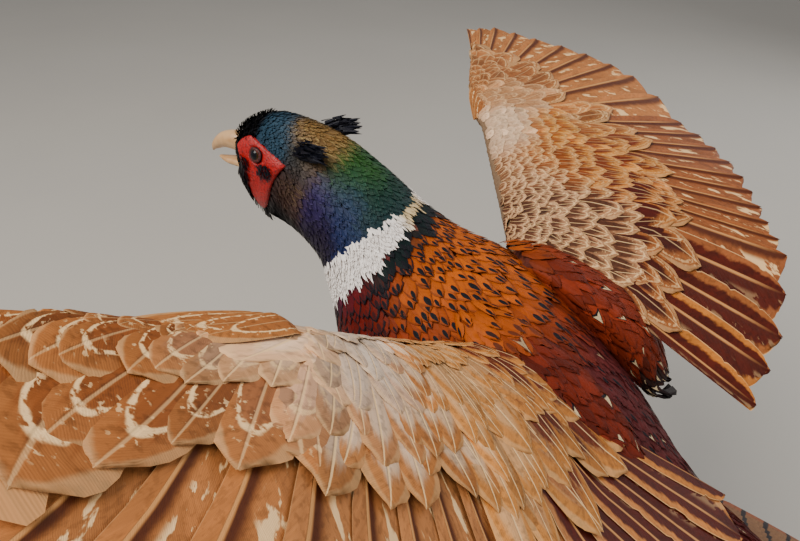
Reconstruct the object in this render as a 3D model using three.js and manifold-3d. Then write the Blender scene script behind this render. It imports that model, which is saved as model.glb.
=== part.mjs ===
// A cock ring-necked pheasant mounted in flight: wings spread, bill open, tail trailing,
// legs drawn back under the belly, held by a rod on a round base.
// Millimetres, +Z up. The bird faces -Y and its left wing points to +X.
// The origin is the centre of the underside of the base.
import * as THREE from 'three';
import { mergeVertices } from 'three/addons/utils/BufferGeometryUtils.js';
import Module from 'manifold-3d';

const wasm = await Module();
wasm.setup();

// ---------------------------------------------------------------- driving sizes
const GAP = 0.35;                      // clearance between neighbouring pieces
const BACK_HEIGHT = 400;               // height of the bird's mid-back above the floor
const TURN_AT = -52;                   // Y of the mantle, where the neck starts to turn
const HEAD_TURN = 6;                   // degrees that head and neck turn to the bird's left

const BASE_RADIUS = 125, BASE_HEIGHT = 18, BASE_EDGE = 4;
const ROD_RADIUS = 5, ROD_SOCKET = 16; // the rod runs this far into the belly
const ROD_Y = 6;

const EYE_RADIUS = 5.0;
const TAIL_LENGTH = 470, TAIL_DROP = 27;   // drop of the tail below the horizontal, degrees
const TAIL_ROOT = [0, 110, -108];
const SHANK = 66, MIDDLE_TOE = 46;         // bare leg and middle toe
const VANE = 1.0;                          // thickness of a feather fan at its edge

// Stations along the body, from the tail root to the bill. Each holds the dorsal point and
// the ventral point as (forward of the mantle, height over the mid-back), half the width,
// and how far up the widest level lies, from 0, the belly, to 1, the back.
const RUMP_STATIONS = [
  { back: [-214, -124], front: [-212, -130], half: 6, wide: 0.5 },
  { back: [-192, -112], front: [-188, -134], half: 15, wide: 0.5 },
  { back: [-168, -100], front: [-162, -140], half: 23, wide: 0.5 },
  { back: [-146, -81], front: [-134, -147], half: 31, wide: 0.5 },
  { back: [-122, -57], front: [-97, -150], half: 44.5, wide: 0.5 },
];
const TRUNK_STATIONS = [
  RUMP_STATIONS[4],
  { back: [-88, -23], front: [-45, -142], half: 58.5, wide: 0.52 },
  { back: [-52, 4], front: [0, -124], half: 66, wide: 0.55 },
  { back: [-14, 21], front: [46, -98], half: 64, wide: 0.56 },
  { back: [16, 32], front: [76, -62], half: 54, wide: 0.52 },
  { back: [40, 47], front: [86, -28], half: 42, wide: 0.5 },
];
const NECK_STATIONS = [
  TRUNK_STATIONS[5],
  { back: [56, 60], front: [90, -11], half: 37, wide: 0.5 },
  { back: [72, 71], front: [97, 6], half: 33, wide: 0.5 },
  { back: [88, 81], front: [109, 17], half: 30, wide: 0.5 },
  { back: [102, 87.5], front: [122, 22], half: 26, wide: 0.5 },
];
const HEAD_STATIONS = [
  NECK_STATIONS[4],
  { back: [116, 91], front: [134, 24], half: 22, wide: 0.52 },
  { back: [130, 91.5], front: [142, 30], half: 19, wide: 0.56 },
  { back: [142, 87], front: [148, 39], half: 16, wide: 0.6 },
  { back: [151, 81], front: [153, 46], half: 12.5, wide: 0.62 },
  { back: [157, 74.5], front: [156, 51], half: 8.5, wide: 0.6 },
];

// The arm and hand of each wing, as (left, back, up) from the mid-back, and the fan of flight
// feathers from the outermost primary (0) over the first secondary (10) to the tertials (from
// 20): length, sweep behind straight out and rise over level, in degrees. The fold is the skin
// ahead of the bones of the arm.
const WINGS = {
  left: {
    side: 1, shoulder: [56, -44, 4], elbow: [121.8, -22.5, 28.8], wrist: [150, -66, 81],
    hand: { length: 56, sweep: -30, rise: 27 }, fold: 4,
    scapulars: { path: [[30, -50, 16], [41, -22, 7], [45, 14, -9], [45, 48, -33], [42, 76, -60]],
      radii: [[8, 4], [18, 7], [20, 8], [17, 7], [7, 4]] },
    fan: [
      { at: 0, length: 168, sweep: -28, rise: 26 }, { at: 2, length: 204, sweep: -19, rise: 23 },
      { at: 4, length: 209, sweep: -8, rise: 19 }, { at: 6, length: 196, sweep: 6, rise: 14 },
      { at: 8, length: 180, sweep: 15, rise: 10 }, { at: 10, length: 165, sweep: 26, rise: 7 },
      { at: 12, length: 162, sweep: 35, rise: 0 }, { at: 14, length: 160, sweep: 43, rise: -5 },
      { at: 17, length: 160, sweep: 56, rise: -11 }, { at: 19, length: 163, sweep: 66, rise: -16 },
      { at: 21, length: 176, sweep: 82, rise: -20 }, { at: 23, length: 184, sweep: 93, rise: -22 },
      { at: 25, length: 178, sweep: 104, rise: -22 },
    ],
  },
  right: {
    side: -1, shoulder: [56, -50, 2], elbow: [124.8, -47.5, 23.4], wrist: [155.7, -113.3, 39.9],
    hand: { length: 56, sweep: -26, rise: 2 }, fold: 1,
    scapulars: { path: [[30, -50, 16], [44, -22, 5], [49, 12, -12], [48, 40, -31], [41, 63, -51]],
      radii: [[10, 5], [28, 12], [38, 17], [33, 17], [14, 9]] },
    fan: [
      { at: 0, length: 168, sweep: -25, rise: 3 }, { at: 2, length: 204, sweep: -16, rise: 2 },
      { at: 4, length: 209, sweep: -4, rise: 1 }, { at: 6, length: 196, sweep: 12, rise: 2 },
      { at: 8, length: 180, sweep: 30, rise: 3 }, { at: 10, length: 165, sweep: 54, rise: 1 },
      { at: 12, length: 161, sweep: 68, rise: 3 }, { at: 14, length: 159, sweep: 82, rise: 5 },
      { at: 17, length: 158, sweep: 94, rise: 4 }, { at: 19, length: 160, sweep: 99, rise: 2 },
      { at: 21, length: 174, sweep: 106, rise: -5 }, { at: 23, length: 178, sweep: 111, rise: -10 },
    ],
  },
};

// ---------------------------------------------------------------- small maths
const rad = THREE.MathUtils.degToRad;
const V = (x, y, z) => new THREE.Vector3(x, y, z);
const mix = (a, b, t) => a.clone().lerp(b, t);
const clamp = THREE.MathUtils.clamp;
const smooth = (t) => THREE.MathUtils.smoothstep(t, 0, 1);

// Direction that is swept back from straight out to one side, and raised over level.
function heading(side, sweep, rise) {
  const s = rad(sweep), r = rad(rise);
  return V(side * Math.cos(s) * Math.cos(r), Math.sin(s) * Math.cos(r), Math.sin(r));
}

// A point of the body from its distance forward of the mantle, its offset to the left and
// its height: behind the mantle it lies straight, ahead of it the plane turns to the left.
function bodyPoint(forward, left, up) {
  const turn = rad(HEAD_TURN) * smooth(forward / 45 + 0.3);
  const x = Math.sin(turn) * forward + Math.cos(turn) * left;
  const y = -Math.cos(turn) * forward + Math.sin(turn) * left;
  return V(x, y + TURN_AT, up);
}

// ---------------------------------------------------------------- solids
// Closed solid through rings of points, each ring as long as the next, with flat-fanned ends.
function loft(rings) {
  const n = rings[0].length;
  const points = rings.flat();
  const index = [];
  for (let i = 0; i + 1 < rings.length; i++) {
    for (let j = 0; j < n; j++) {
      const a = i * n + j, b = i * n + (j + 1) % n;
      index.push(a, b, b + n, a, b + n, a + n);
    }
  }
  for (const [start, flip] of [[0, true], [(rings.length - 1) * n, false]]) {
    const centre = new THREE.Vector3();
    for (let j = 0; j < n; j++) centre.add(points[start + j]);
    points.push(centre.divideScalar(n));
    const c = points.length - 1;
    for (let j = 0; j < n; j++) {
      const a = start + j, b = start + (j + 1) % n;
      index.push(...(flip ? [c, b, a] : [c, a, b]));
    }
  }
  return facingOut(points, index);
}

// Geometry from points and triangles, turned inside out if its volume comes out negative.
function facingOut(points, index) {
  const geometry = new THREE.BufferGeometry().setFromPoints(points);
  let volume = 0;
  for (let i = 0; i < index.length; i += 3) {
    const [a, b, c] = [points[index[i]], points[index[i + 1]], points[index[i + 2]]];
    volume += a.dot(b.clone().cross(c));
  }
  if (volume < 0) index.reverse();
  geometry.setIndex(index);
  return geometry;
}

// Ring of a body station: an egg-shaped section between the dorsal and the ventral point.
function stationRing(station, count) {
  const [bf, bz] = station.back, [vf, vz] = station.front;
  return Array.from({ length: count }, (_, j) => {
    const angle = (j / count) * 2 * Math.PI;
    const height = 0.5 + 0.5 * Math.cos(angle);
    const level = height < station.wide
      ? 0.5 * (height / station.wide)
      : 0.5 + 0.5 * (height - station.wide) / (1 - station.wide);
    const width = Math.sqrt(Math.max(0, 1 - (2 * level - 1) ** 2));
    const left = station.half * width * Math.sign(Math.sin(angle) || 1);
    const edge = Math.abs(Math.sin(angle)) < 1e-9 ? 0 : left;
    return bodyPoint(vf + (bf - vf) * height, edge, vz + (bz - vz) * height);
  });
}

// Stations between the given ones, by a smooth curve through each of their numbers.
function refine(stations, steps) {
  const keys = stations.map((s) => [...s.back, ...s.front, s.half, s.wide]);
  const out = [];
  const total = (stations.length - 1) * steps;
  for (let k = 0; k <= total; k++) {
    const i = Math.min(Math.floor(k / steps), stations.length - 2), t = k / steps - i;
    const at = (m) => keys[clamp(m, 0, keys.length - 1)];
    const v = keys[0].map((_, c) => {
      const [p, q, r, s] = [at(i - 1)[c], at(i)[c], at(i + 1)[c], at(i + 2)[c]];
      return q + 0.5 * t * (r - p + t * (2 * p - 5 * q + 4 * r - s + t * (3 * (q - r) + s - p)));
    });
    out.push({ back: [v[0], v[1]], front: [v[2], v[3]], half: v[4], wide: v[5] });
  }
  return out;
}

// Moves the first section of a length of body forward, to leave the cut between two lengths.
function openCut(stations) {
  const [first, second, ...rest] = stations;
  const step = Math.hypot(second.back[0] - first.back[0], second.back[1] - first.back[1]);
  const low = Math.hypot(second.front[0] - first.front[0], second.front[1] - first.front[1]);
  const t = GAP / Math.min(step, low);
  const shift = (a, b) => [a[0] + (b[0] - a[0]) * t, a[1] + (b[1] - a[1]) * t];
  return [{ ...first, back: shift(first.back, second.back), front: shift(first.front, second.front),
    half: first.half + (second.half - first.half) * t }, second, ...rest];
}

function bodyLength(stations, count, steps, opened = true) {
  const fine = refine(stations, steps);
  return loft((opened ? openCut(fine) : fine).map((s) => stationRing(s, count)));
}

// Round or oval limb along a smooth path: radii holds [wide, deep] for each given point.
function limb(path, radii, count, steps, up = V(0, 0, 1)) {
  const curve = new THREE.CatmullRomCurve3(path);
  const rings = [];
  const total = (path.length - 1) * steps;
  for (let k = 0; k <= total; k++) {
    const t = k / total, f = t * (path.length - 1), i = Math.min(Math.floor(f), path.length - 2);
    const centre = curve.getPoint(t), along = curve.getTangent(t);
    const across = along.clone().cross(up).normalize(), deep = across.clone().cross(along);
    const [wide, high] = [0, 1].map((c) => THREE.MathUtils.lerp(radii[i][c], radii[i + 1][c], f - i));
    rings.push(Array.from({ length: count }, (_, j) => {
      const a = (j / count) * 2 * Math.PI;
      return centre.clone().addScaledVector(across, wide * Math.cos(a))
        .addScaledVector(deep, high * Math.sin(a));
    }));
  }
  return loft(rings);
}

// Thin closed sheet over a grid of points, rows[i][j], with a thickness for each point.
function sheet(rows, thickness) {
  const m = rows.length, n = rows[0].length;
  const points = [];
  for (const sign of [0.5, -0.5]) {
    for (let i = 0; i < m; i++) {
      for (let j = 0; j < n; j++) {
        const du = rows[Math.min(i + 1, m - 1)][j].clone().sub(rows[Math.max(i - 1, 0)][j]);
        const dv = rows[i][Math.min(j + 1, n - 1)].clone().sub(rows[i][Math.max(j - 1, 0)]);
        const normal = du.cross(dv).normalize();
        points.push(rows[i][j].clone().addScaledVector(normal, sign * thickness(i, j)));
      }
    }
  }
  const index = [], half = m * n, at = (i, j) => i * n + j;
  const quad = (a, b, c, d) => index.push(a, b, c, a, c, d);
  for (let i = 0; i + 1 < m; i++) {
    for (let j = 0; j + 1 < n; j++) {
      const [a, b, c, d] = [at(i, j), at(i + 1, j), at(i + 1, j + 1), at(i, j + 1)];
      quad(a, b, c, d);
      quad(half + d, half + c, half + b, half + a);
    }
  }
  const rim = [];
  for (let j = 0; j + 1 < n; j++) rim.push(at(0, j));
  for (let i = 0; i + 1 < m; i++) rim.push(at(i, n - 1));
  for (let j = n - 1; j > 0; j--) rim.push(at(m - 1, j));
  for (let i = m - 1; i > 0; i--) rim.push(at(i, 0));
  rim.forEach((a, k) => {
    const b = rim[(k + 1) % rim.length];
    quad(a, b, half + b, half + a);
  });
  return facingOut(points, index);
}

// ---------------------------------------------------------------- joining and cutting
const WELD = 1e-4;
function welded(geometry) {
  const bare = geometry.clone();
  for (const name of Object.keys(bare.attributes)) if (name !== 'position') bare.deleteAttribute(name);
  return mergeVertices(bare, WELD);
}

function solid(geometry) {
  const merged = welded(geometry);
  return new wasm.Manifold(new wasm.Mesh({
    numProp: 3,
    vertProperties: new Float32Array(merged.attributes.position.array),
    triVerts: new Uint32Array(merged.index.array),
  }));
}

function geometryOf(body) {
  const mesh = body.getMesh();
  const geometry = new THREE.BufferGeometry();
  geometry.setAttribute('position', new THREE.BufferAttribute(mesh.vertProperties, 3));
  geometry.setIndex(new THREE.BufferAttribute(mesh.triVerts, 1));
  return geometry;
}

// The same shape with its surface moved outwards, to cut a neighbour with some clearance.
function grown(geometry, distance = GAP) {
  const merged = welded(geometry);
  merged.computeVertexNormals();
  const p = merged.attributes.position, q = merged.attributes.normal;
  for (let i = 0; i < p.count; i++) {
    p.setXYZ(i, p.getX(i) + distance * q.getX(i), p.getY(i) + distance * q.getY(i),
      p.getZ(i) + distance * q.getZ(i));
  }
  return merged;
}

// Cuts the grown neighbours out of a shape and keeps its largest piece.
function clearOf(geometry, ...neighbours) {
  let body = solid(geometry);
  for (const other of neighbours) body = body.subtract(solid(grown(other)).add(solid(other)));
  const pieces = body.decompose().sort((a, b) => b.volume() - a.volume());
  return geometryOf(pieces[0]);
}

// ---------------------------------------------------------------- the object's pieces
const pheasant = new THREE.Group();
const bird = new THREE.Group();
bird.position.set(0, -ROD_Y, BACK_HEIGHT);
pheasant.add(bird);

function place(parent, name, geometry, color, roughness = 0.8, metalness = 0) {
  const mesh = new THREE.Mesh(geometry, new THREE.MeshStandardMaterial({ color, roughness, metalness }));
  mesh.name = name;
  parent.add(mesh);
  return geometry;
}

// Stand: a turned disc with a rounded upper edge and a steel rod into the belly.
const EDGE_STEPS = 2;
function turnedBase() {
  const profile = [[0, 0], [BASE_RADIUS, 0], [BASE_RADIUS, BASE_HEIGHT - BASE_EDGE]];
  for (let k = 1; k <= EDGE_STEPS; k++) {
    const a = (k / EDGE_STEPS) * Math.PI / 2;
    profile.push([BASE_RADIUS - BASE_EDGE * (1 - Math.cos(a)),
      BASE_HEIGHT - BASE_EDGE * (1 - Math.sin(a))]);
  }
  profile.push([0, BASE_HEIGHT]);
  const disc = new THREE.LatheGeometry(profile.map(([r, z]) => new THREE.Vector2(r, z)), 32);
  return disc.rotateX(Math.PI / 2);
}
const bellyHeight = TRUNK_STATIONS[2].front[1] - 12;
const rodTop = bellyHeight + ROD_SOCKET + BACK_HEIGHT;
const rodFoot = BASE_HEIGHT + GAP;
const rod = new THREE.CylinderGeometry(ROD_RADIUS, ROD_RADIUS, rodTop - rodFoot, 12)
  .rotateX(Math.PI / 2).translate(0, 0, (rodTop + rodFoot) / 2);
place(pheasant, 'stand_base', turnedBase(), 0x3a2618, 0.45);
place(pheasant, 'stand_rod', rod, 0x9a9a9c, 0.3, 1);
const rodInBird = rod.clone().translate(0, ROD_Y, -BACK_HEIGHT);

// Trunk, rump with the tail coverts, and neck: one form parted by thin cuts.
const BODY_COUNT = 18;
const trunk = clearOf(bodyLength(TRUNK_STATIONS, BODY_COUNT, 2), rodInBird);
const rump = bodyLength(RUMP_STATIONS, BODY_COUNT, 2, false);
const neck = bodyLength(NECK_STATIONS, BODY_COUNT, 2);
place(bird, 'trunk', trunk, 0x8e3a1c);
place(bird, 'rump', rump, 0x6a2a28);
place(bird, 'neck', neck, 0x1f3f4c, 0.45);

// Head with sockets for the eyes.
const headForm = bodyLength(HEAD_STATIONS, 16, 2);
const EYE_AT = [133.5, 16.6, 71.5];
const eyes = ['left', 'right'].map((name) => {
  const side = WINGS[name].side;
  const centre = bodyPoint(EYE_AT[0], side * EYE_AT[1], EYE_AT[2]);
  return { name, side, shape: new THREE.SphereGeometry(EYE_RADIUS, 10, 6).translate(...centre) };
});

// Bill: the upper half is a hooked ridge, the lower half a shallow scoop, with a gap between.
function billHalf(path, radii) {
  return limb(path.map(([forward, up]) => bodyPoint(forward, 0, up)), radii, 8, 2, V(0, 0, 1));
}
const upperBill = billHalf([[150, 67], [159, 68], [168, 66.5], [175, 61.5], [177.6, 57.6]],
  [[7.2, 7], [6.2, 6.2], [4.8, 4.9], [2.6, 2.8], [0.6, 0.6]]);
const lowerBill = billHalf([[148, 54.5], [157, 54], [166, 53.6], [173, 54.4]],
  [[6.4, 4], [5.4, 3.1], [3.9, 2.3], [1.1, 0.7]]);
const head = clearOf(headForm, upperBill, lowerBill, ...eyes.map((e) => e.shape));
place(bird, 'head', head, 0x1d3550, 0.45);
place(bird, 'bill_upper', upperBill, 0xcaa878, 0.4);
place(bird, 'bill_lower', clearOf(lowerBill, upperBill), 0xb9946a, 0.4);
for (const eye of eyes) place(bird, `eye_${eye.name}`, eye.shape, 0x2a1a10, 0.1);

// Red wattle on each cheek: the head's own surface, thickened inside a shield outline.
const WATTLE_THICKNESS = 1.6, WATTLE_INNER = 4, WATTLE_REACH = 24;
const WATTLE_START = [150, 73];
const WATTLE_CURVES = [[145, 80, 139, 81], [128, 77, 113, 71], [121, 64, 125, 52],
  [131, 34, 139, 30], [145, 37, 146, 52], [147, 66, 150, 73]];
function wattle(side, eye) {
  const outline = new THREE.Shape();
  outline.moveTo(...WATTLE_START);
  for (const curve of WATTLE_CURVES) outline.quadraticCurveTo(...curve);
  const plate = welded(new THREE.ExtrudeGeometry(outline,
    { depth: WATTLE_REACH, bevelEnabled: false, curveSegments: 2 }));
  const p = plate.attributes.position;
  const points = Array.from({ length: p.count },
    (_, i) => bodyPoint(p.getX(i), side * (WATTLE_INNER + p.getZ(i)), p.getY(i)));
  const skin = solid(facingOut(points, [...plate.index.array]))
    .intersect(solid(grown(headForm, WATTLE_THICKNESS)));
  return clearOf(geometryOf(skin), headForm, upperBill, lowerBill, eye);
}
for (const eye of eyes) {
  place(bird, `wattle_${eye.name}`, wattle(eye.side, eye.shape), 0xc02018, 0.6);
}

// Ear tufts: short blades that stand up and back from the sides of the crown.
for (const { name, side } of eyes) {
  const path = [[111, 13, 78], [102, 19, 81], [88, 22, 82]]
    .map(([forward, out, up]) => bodyPoint(forward, side * out, up));
  const tuft = limb(path, [[3, 4.5], [3, 6], [1, 2]], 6, 2);
  place(bird, `ear_tuft_${name}`, clearOf(tuft, headForm, neck), 0x10131f, 0.6);
}

// ---------------------------------------------------------------- wings
// Root, length and direction of the feather at a station of the fan.
function feather(wing, at) {
  const { fan, side } = wing;
  let k = 0;
  while (k < fan.length - 2 && fan[k + 1].at < at) k++;
  const a = fan[k], b = fan[k + 1], t = (at - a.at) / (b.at - a.at);
  const value = (key) => THREE.MathUtils.lerp(a[key], b[key], t);
  return { root: boneAt(wing, at), length: value('length'),
    way: heading(side, value('sweep'), value('rise')) };
}
function boneAt(wing, at) {
  const { tip, wrist, elbow, shoulder } = wing.joints;
  if (at <= 9) return mix(tip, wrist, at / 9);
  if (at <= 19) return mix(wrist, elbow, (at - 9) / 10);
  return mix(elbow, shoulder, (at - 19) / 6);
}

// Upper normal of the fan at a station.
const lastStation = (wing) => wing.fan[wing.fan.length - 1].at;
function fanNormal(wing, at) {
  const a = feather(wing, Math.max(at - 1.5, 0));
  const b = feather(wing, Math.min(at + 1.5, lastStation(wing)));
  const normal = a.way.clone().cross(b.way).normalize();
  return normal.z < 0 ? normal.negate() : normal;
}

// Feathers bow: the tips curve down a little from the line of the root.
const HAND_FOLD = 4;      // skin ahead of the bones of the hand
const BOW = 0.055;
function fanPoint(wing, at, part, lift = 0) {
  const { root, length, way } = feather(wing, at);
  const sag = -BOW * length * part * part + BOW * 0.6 * length * part;
  return root.clone().addScaledVector(way, length * part).addScaledVector(fanNormal(wing, at), sag + lift);
}

// How far the coverts reach along the flight feathers, as a share of their length.
const COVERT_GAP = 0.004;
const covertReach = (at) => (at < 9.3 ? 0.5 - 0.006 * at : 0.47 + 0.002 * (at - 9.3));

// Fan of flight feathers with rounded tips and a step from each vane to the next.
function featherFan(wing, from, to, notch) {
  const COLUMNS = 2, ROWS = 2;
  const count = to - from;
  const rows = [], thick = [];
  for (let i = 0; i <= count * COLUMNS; i++) {
    const at = from + i / COLUMNS, inside = (i % COLUMNS) / COLUMNS;
    const tip = 1 - notch * Math.abs(2 * inside - 1) ** 2;
    const step = (inside - 0.5) * 1.6;
    const row = [], t = [];
    for (let j = 0; j <= ROWS; j++) {
      const start = covertReach(at - 0.5) + COVERT_GAP;
      const part = start + (tip - start) * (j / ROWS);
      row.push(fanPoint(wing, at - 0.5, part, step));
      t.push(THREE.MathUtils.lerp(3.2, VANE, j / ROWS));
    }
    rows.push(row);
    thick.push(t);
  }
  return sheet(rows, (i, j) => thick[i][j]);
}

// Fleshy part with its coverts: an aerofoil from the leading edge to the covert tips.
const FOIL = [[0, 0], [0.04, 0.55], [0.14, 0.95], [0.3, 1], [0.6, 0.55], [0.85, 0.24], [1, 0.1],
  [0.85, -0.06], [0.6, -0.12], [0.3, -0.4], [0.14, -0.6], [0.04, -0.45]];
function foilRing(front, back, up, depth) {
  return FOIL.map(([along, high]) => mix(front, back, along).addScaledVector(up, high * depth));
}
function armForm(wing) {
  const { shoulder, wrist } = wing.joints;
  const rings = [];
  const STEPS = 7;
  for (let k = 0; k <= STEPS; k++) {
    const t = k / STEPS;
    const at = THREE.MathUtils.lerp(lastStation(wing) - 0.2, 9.34, t);
    const front = mix(shoulder, wrist, t).addScaledVector(heading(wing.side, -75, 4), wing.fold);
    rings.push(foilRing(front, fanPoint(wing, at, covertReach(at), 1.5), fanNormal(wing, at), 15 - 7 * t));
  }
  return loft(rings);
}
function handForm(wing) {
  const { wrist, tip } = wing.joints;
  const rings = [];
  const STEPS = 6;
  const out = heading(wing.side, wing.hand.sweep, wing.hand.rise);
  for (let k = 0; k <= STEPS; k++) {
    const t = k / STEPS;
    const at = THREE.MathUtils.lerp(9.28, -0.4, t);
    const edge = mix(wrist, tip, t).addScaledVector(out, 20 * t);
    const front = edge.addScaledVector(heading(wing.side, wing.hand.sweep - 80, 0), HAND_FOLD);
    rings.push(foilRing(front, fanPoint(wing, at, covertReach(at), 1),
      fanNormal(wing, Math.max(at, 0)), 6.5 - 3.5 * t));
  }
  return loft(rings);
}
function alulaForm(wing) {
  const { wrist } = wing.joints;
  const out = heading(wing.side, wing.hand.sweep, wing.hand.rise);
  const ahead = heading(wing.side, wing.hand.sweep - 85, 0);
  const up = fanNormal(wing, 4);
  const start = wrist.clone().addScaledVector(ahead, 1).addScaledVector(up, 4.5);
  const path = [0, 0.5, 1].map((t) => start.clone().addScaledVector(out, 8 + 62 * t)
    .addScaledVector(ahead, -7 * t).addScaledVector(up, -3 * t));
  return limb(path, [[6, 1.8], [7, 1.4], [1.5, 0.8]], 6, 2, up);
}

for (const [name, wing] of Object.entries(WINGS)) {
  const point = ([left, back, up]) => V(wing.side * left, back, up);
  const wrist = point(wing.wrist);
  wing.joints = {
    shoulder: point(wing.shoulder), elbow: point(wing.elbow), wrist,
    tip: wrist.clone().addScaledVector(
      heading(wing.side, wing.hand.sweep, wing.hand.rise), wing.hand.length),
  };
  // Scapulars: a thick pad of feathers over the shoulder, from the mantle to beside the rump.
  const { path, radii } = wing.scapulars;
  const pad = limb(path.map(point), radii, 12, 2, V(wing.side * 0.45, 0.2, 1));
  const scapulars = clearOf(pad, trunk, rump, neck);
  const arm = clearOf(armForm(wing), trunk, rump, scapulars);
  const hand = clearOf(handForm(wing), arm);
  const alula = clearOf(alulaForm(wing), arm, hand);
  const primaries = featherFan(wing, 0, 10, 0.05);
  const secondaries = featherFan(wing, 10.05, 20.05, 0.03);
  const tertials = clearOf(featherFan(wing, 20.1, lastStation(wing) + 0.1, 0.04), arm, trunk, rump, scapulars);
  place(bird, `scapulars_${name}`, scapulars, 0x7c3018);
  place(bird, `wing_${name}_arm`, arm, 0xb89a78);
  place(bird, `wing_${name}_hand`, hand, 0xa97c50);
  place(bird, `wing_${name}_alula`, alula, 0xa06a3c);
  place(bird, `wing_${name}_primaries`, primaries, 0xa8733f);
  place(bird, `wing_${name}_secondaries`, secondaries, 0x9a6436);
  place(bird, `wing_${name}_tertials`, tertials, 0x8c5024);
}

// ---------------------------------------------------------------- tail
// Graduated feathers in pairs: the middle pair is the longest, the outer ones ever shorter.
const PAIRS = 8;
const tailAlong = V(0, Math.cos(rad(TAIL_DROP)), -Math.sin(rad(TAIL_DROP)));
const tailUp = V(0, Math.sin(rad(TAIL_DROP)), Math.cos(rad(TAIL_DROP)));
function tailPoint(left, along, up) {
  return V(...TAIL_ROOT).add(V(left, 0, 0)).addScaledVector(tailAlong, along).addScaledVector(tailUp, up);
}
function tailMiddle() {
  const STEPS = 10;
  const rows = [];
  for (let i = 0; i <= STEPS; i++) {
    const t = i / STEPS, along = TAIL_LENGTH * t;
    const half = 15 * Math.min(1, 0.55 + 1.6 * t) * Math.sqrt(Math.max(0.004, 1 - t ** 3.2));
    rows.push([-1, -0.5, 0, 0.5, 1].map(
      (s) => tailPoint(s * half, along, 4 - 3.5 * s * s - 22 * t * t + 6 * t)));
  }
  return sheet(rows, (i) => THREE.MathUtils.lerp(5, 1.2, i / STEPS));
}
function tailSide(side) {
  const rows = [];
  const COLUMNS = 2, ROWS = 3;
  for (let i = 0; i <= PAIRS * COLUMNS; i++) {
    const pair = i / COLUMNS, inside = (i % COLUMNS) / COLUMNS;
    const grade = Math.floor(Math.min(pair, PAIRS - 0.01));
    const length = 400 - 37 * grade - 14 * (1 - 2 * inside);
    const fan = rad(1 + 2.4 * pair), start = 5 + 0.9 * pair;
    rows.push(Array.from({ length: ROWS + 1 }, (_, j) => {
      const reach = length * j / ROWS;
      return tailPoint(side * (start + Math.sin(fan) * reach), Math.cos(fan) * reach,
        -1.5 - 0.55 * pair - 14 * (reach / TAIL_LENGTH) ** 2);
    }));
  }
  return sheet(rows, (_, j) => THREE.MathUtils.lerp(3, VANE, j / ROWS));
}
const tailCentre = clearOf(tailMiddle(), rump);
place(bird, 'tail_centre', tailCentre, 0x9a7a48);
for (const [name, side] of [['left', 1], ['right', -1]]) {
  place(bird, `tail_${name}`, clearOf(tailSide(side), rump, tailCentre), 0x8a6a40);
}

// ---------------------------------------------------------------- legs
const TOE_JOINTS = 3;
const TOES = [
  { name: 'inner', spread: -26, length: 0.74 }, { name: 'middle', spread: 0, length: 1 },
  { name: 'outer', spread: 24, length: 0.78 },
];
for (const { name, side } of eyes) {
  const hip = V(side * 40, 0, -104), knee = V(side * 45, 22, -128);
  const ankle = V(side * 33, 70, -168);
  const thigh = clearOf(limb([hip, knee, mix(knee, ankle, 0.55), ankle],
    [[18, 24], [22, 26], [13, 16], [5.5, 6]], 10, 2), trunk, rump);
  place(bird, `thigh_${name}`, thigh, 0x5a3424);

  const down = V(-side * 0.06, 0.78, -0.62).normalize();
  const heel = ankle.clone().addScaledVector(down, SHANK);
  const shank = limb(
    [ankle.clone().addScaledVector(down, -4), mix(ankle, heel, 0.3), mix(ankle, heel, 0.7), heel],
    [[4.4, 5], [3.2, 3.8], [3, 3.6], [4.2, 4.2]], 8, 1);
  place(bird, `shank_${name}`, clearOf(shank, thigh), 0x8d8474, 0.55);

  const spurRoot = mix(ankle, heel, 0.66);
  const spurWay = V(-side * 0.55, 0.45, 0.7).normalize();
  const spur = limb([spurRoot, spurRoot.clone().addScaledVector(spurWay, 8),
    spurRoot.clone().addScaledVector(spurWay, 15).add(V(0, 1, 2.5))],
    [[3, 3], [2.2, 2.2], [0.4, 0.4]], 6, 1);
  place(bird, `spur_${name}`, clearOf(spur, shank), 0x6b6150, 0.5);

  // The toes trail behind the shank, half closed, each ending in a curved claw.
  let foot = solid(new THREE.SphereGeometry(5, 8, 5).translate(...heel.clone().addScaledVector(down, 5)));
  const claws = [];
  const toeLine = (spread, length, curl, start) => {
    const way = (t) => {
      const a = rad(spread), b = rad(curl) * t;
      return down.clone().applyAxisAngle(V(1, 0, 0), -b)
        .addScaledVector(V(1, 0, 0), Math.sin(a) * side).normalize();
    };
    const points = [start];
    for (let k = 1; k <= TOE_JOINTS; k++) {
      points.push(points[k - 1].clone().addScaledVector(way(k / TOE_JOINTS), length / TOE_JOINTS));
    }
    return points;
  };
  const ball = heel.clone().addScaledVector(down, 5);
  const hind = { name: 'hind', spread: 0, length: 0.34 };
  for (const toe of [...TOES, hind]) {
    const back = toe.name === 'hind';
    const line = toeLine(toe.spread, MIDDLE_TOE * toe.length, back ? 60 : 46, ball);
    if (back) line.forEach((q, k) => q.copy(ball).add(V(0, -2.9 * k, -4.8 * k)));
    foot = foot.add(solid(limb(line, [[3.4, 3.2], [2.9, 2.7], [2.5, 2.3], [2, 1.9]], 6, 1)));
    const end = line[TOE_JOINTS], way = end.clone().sub(line[TOE_JOINTS - 1]).normalize();
    const claw = limb([end.clone().addScaledVector(way, GAP), end.clone().addScaledVector(way, 4),
      end.clone().addScaledVector(way, 9).add(V(0, 0, -2.5))],
    [[1.6, 1.7], [1.3, 1.5], [0.35, 0.35]], 6, 1);
    claws.push({ name: `claw_${name}_${toe.name}`, claw });
  }
  place(bird, `foot_${name}`, clearOf(geometryOf(foot), shank), 0x8d8474, 0.55);
  for (const { name: clawName, claw } of claws) place(bird, clawName, claw, 0x3b332a, 0.4);
}

export default pheasant;
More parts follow.
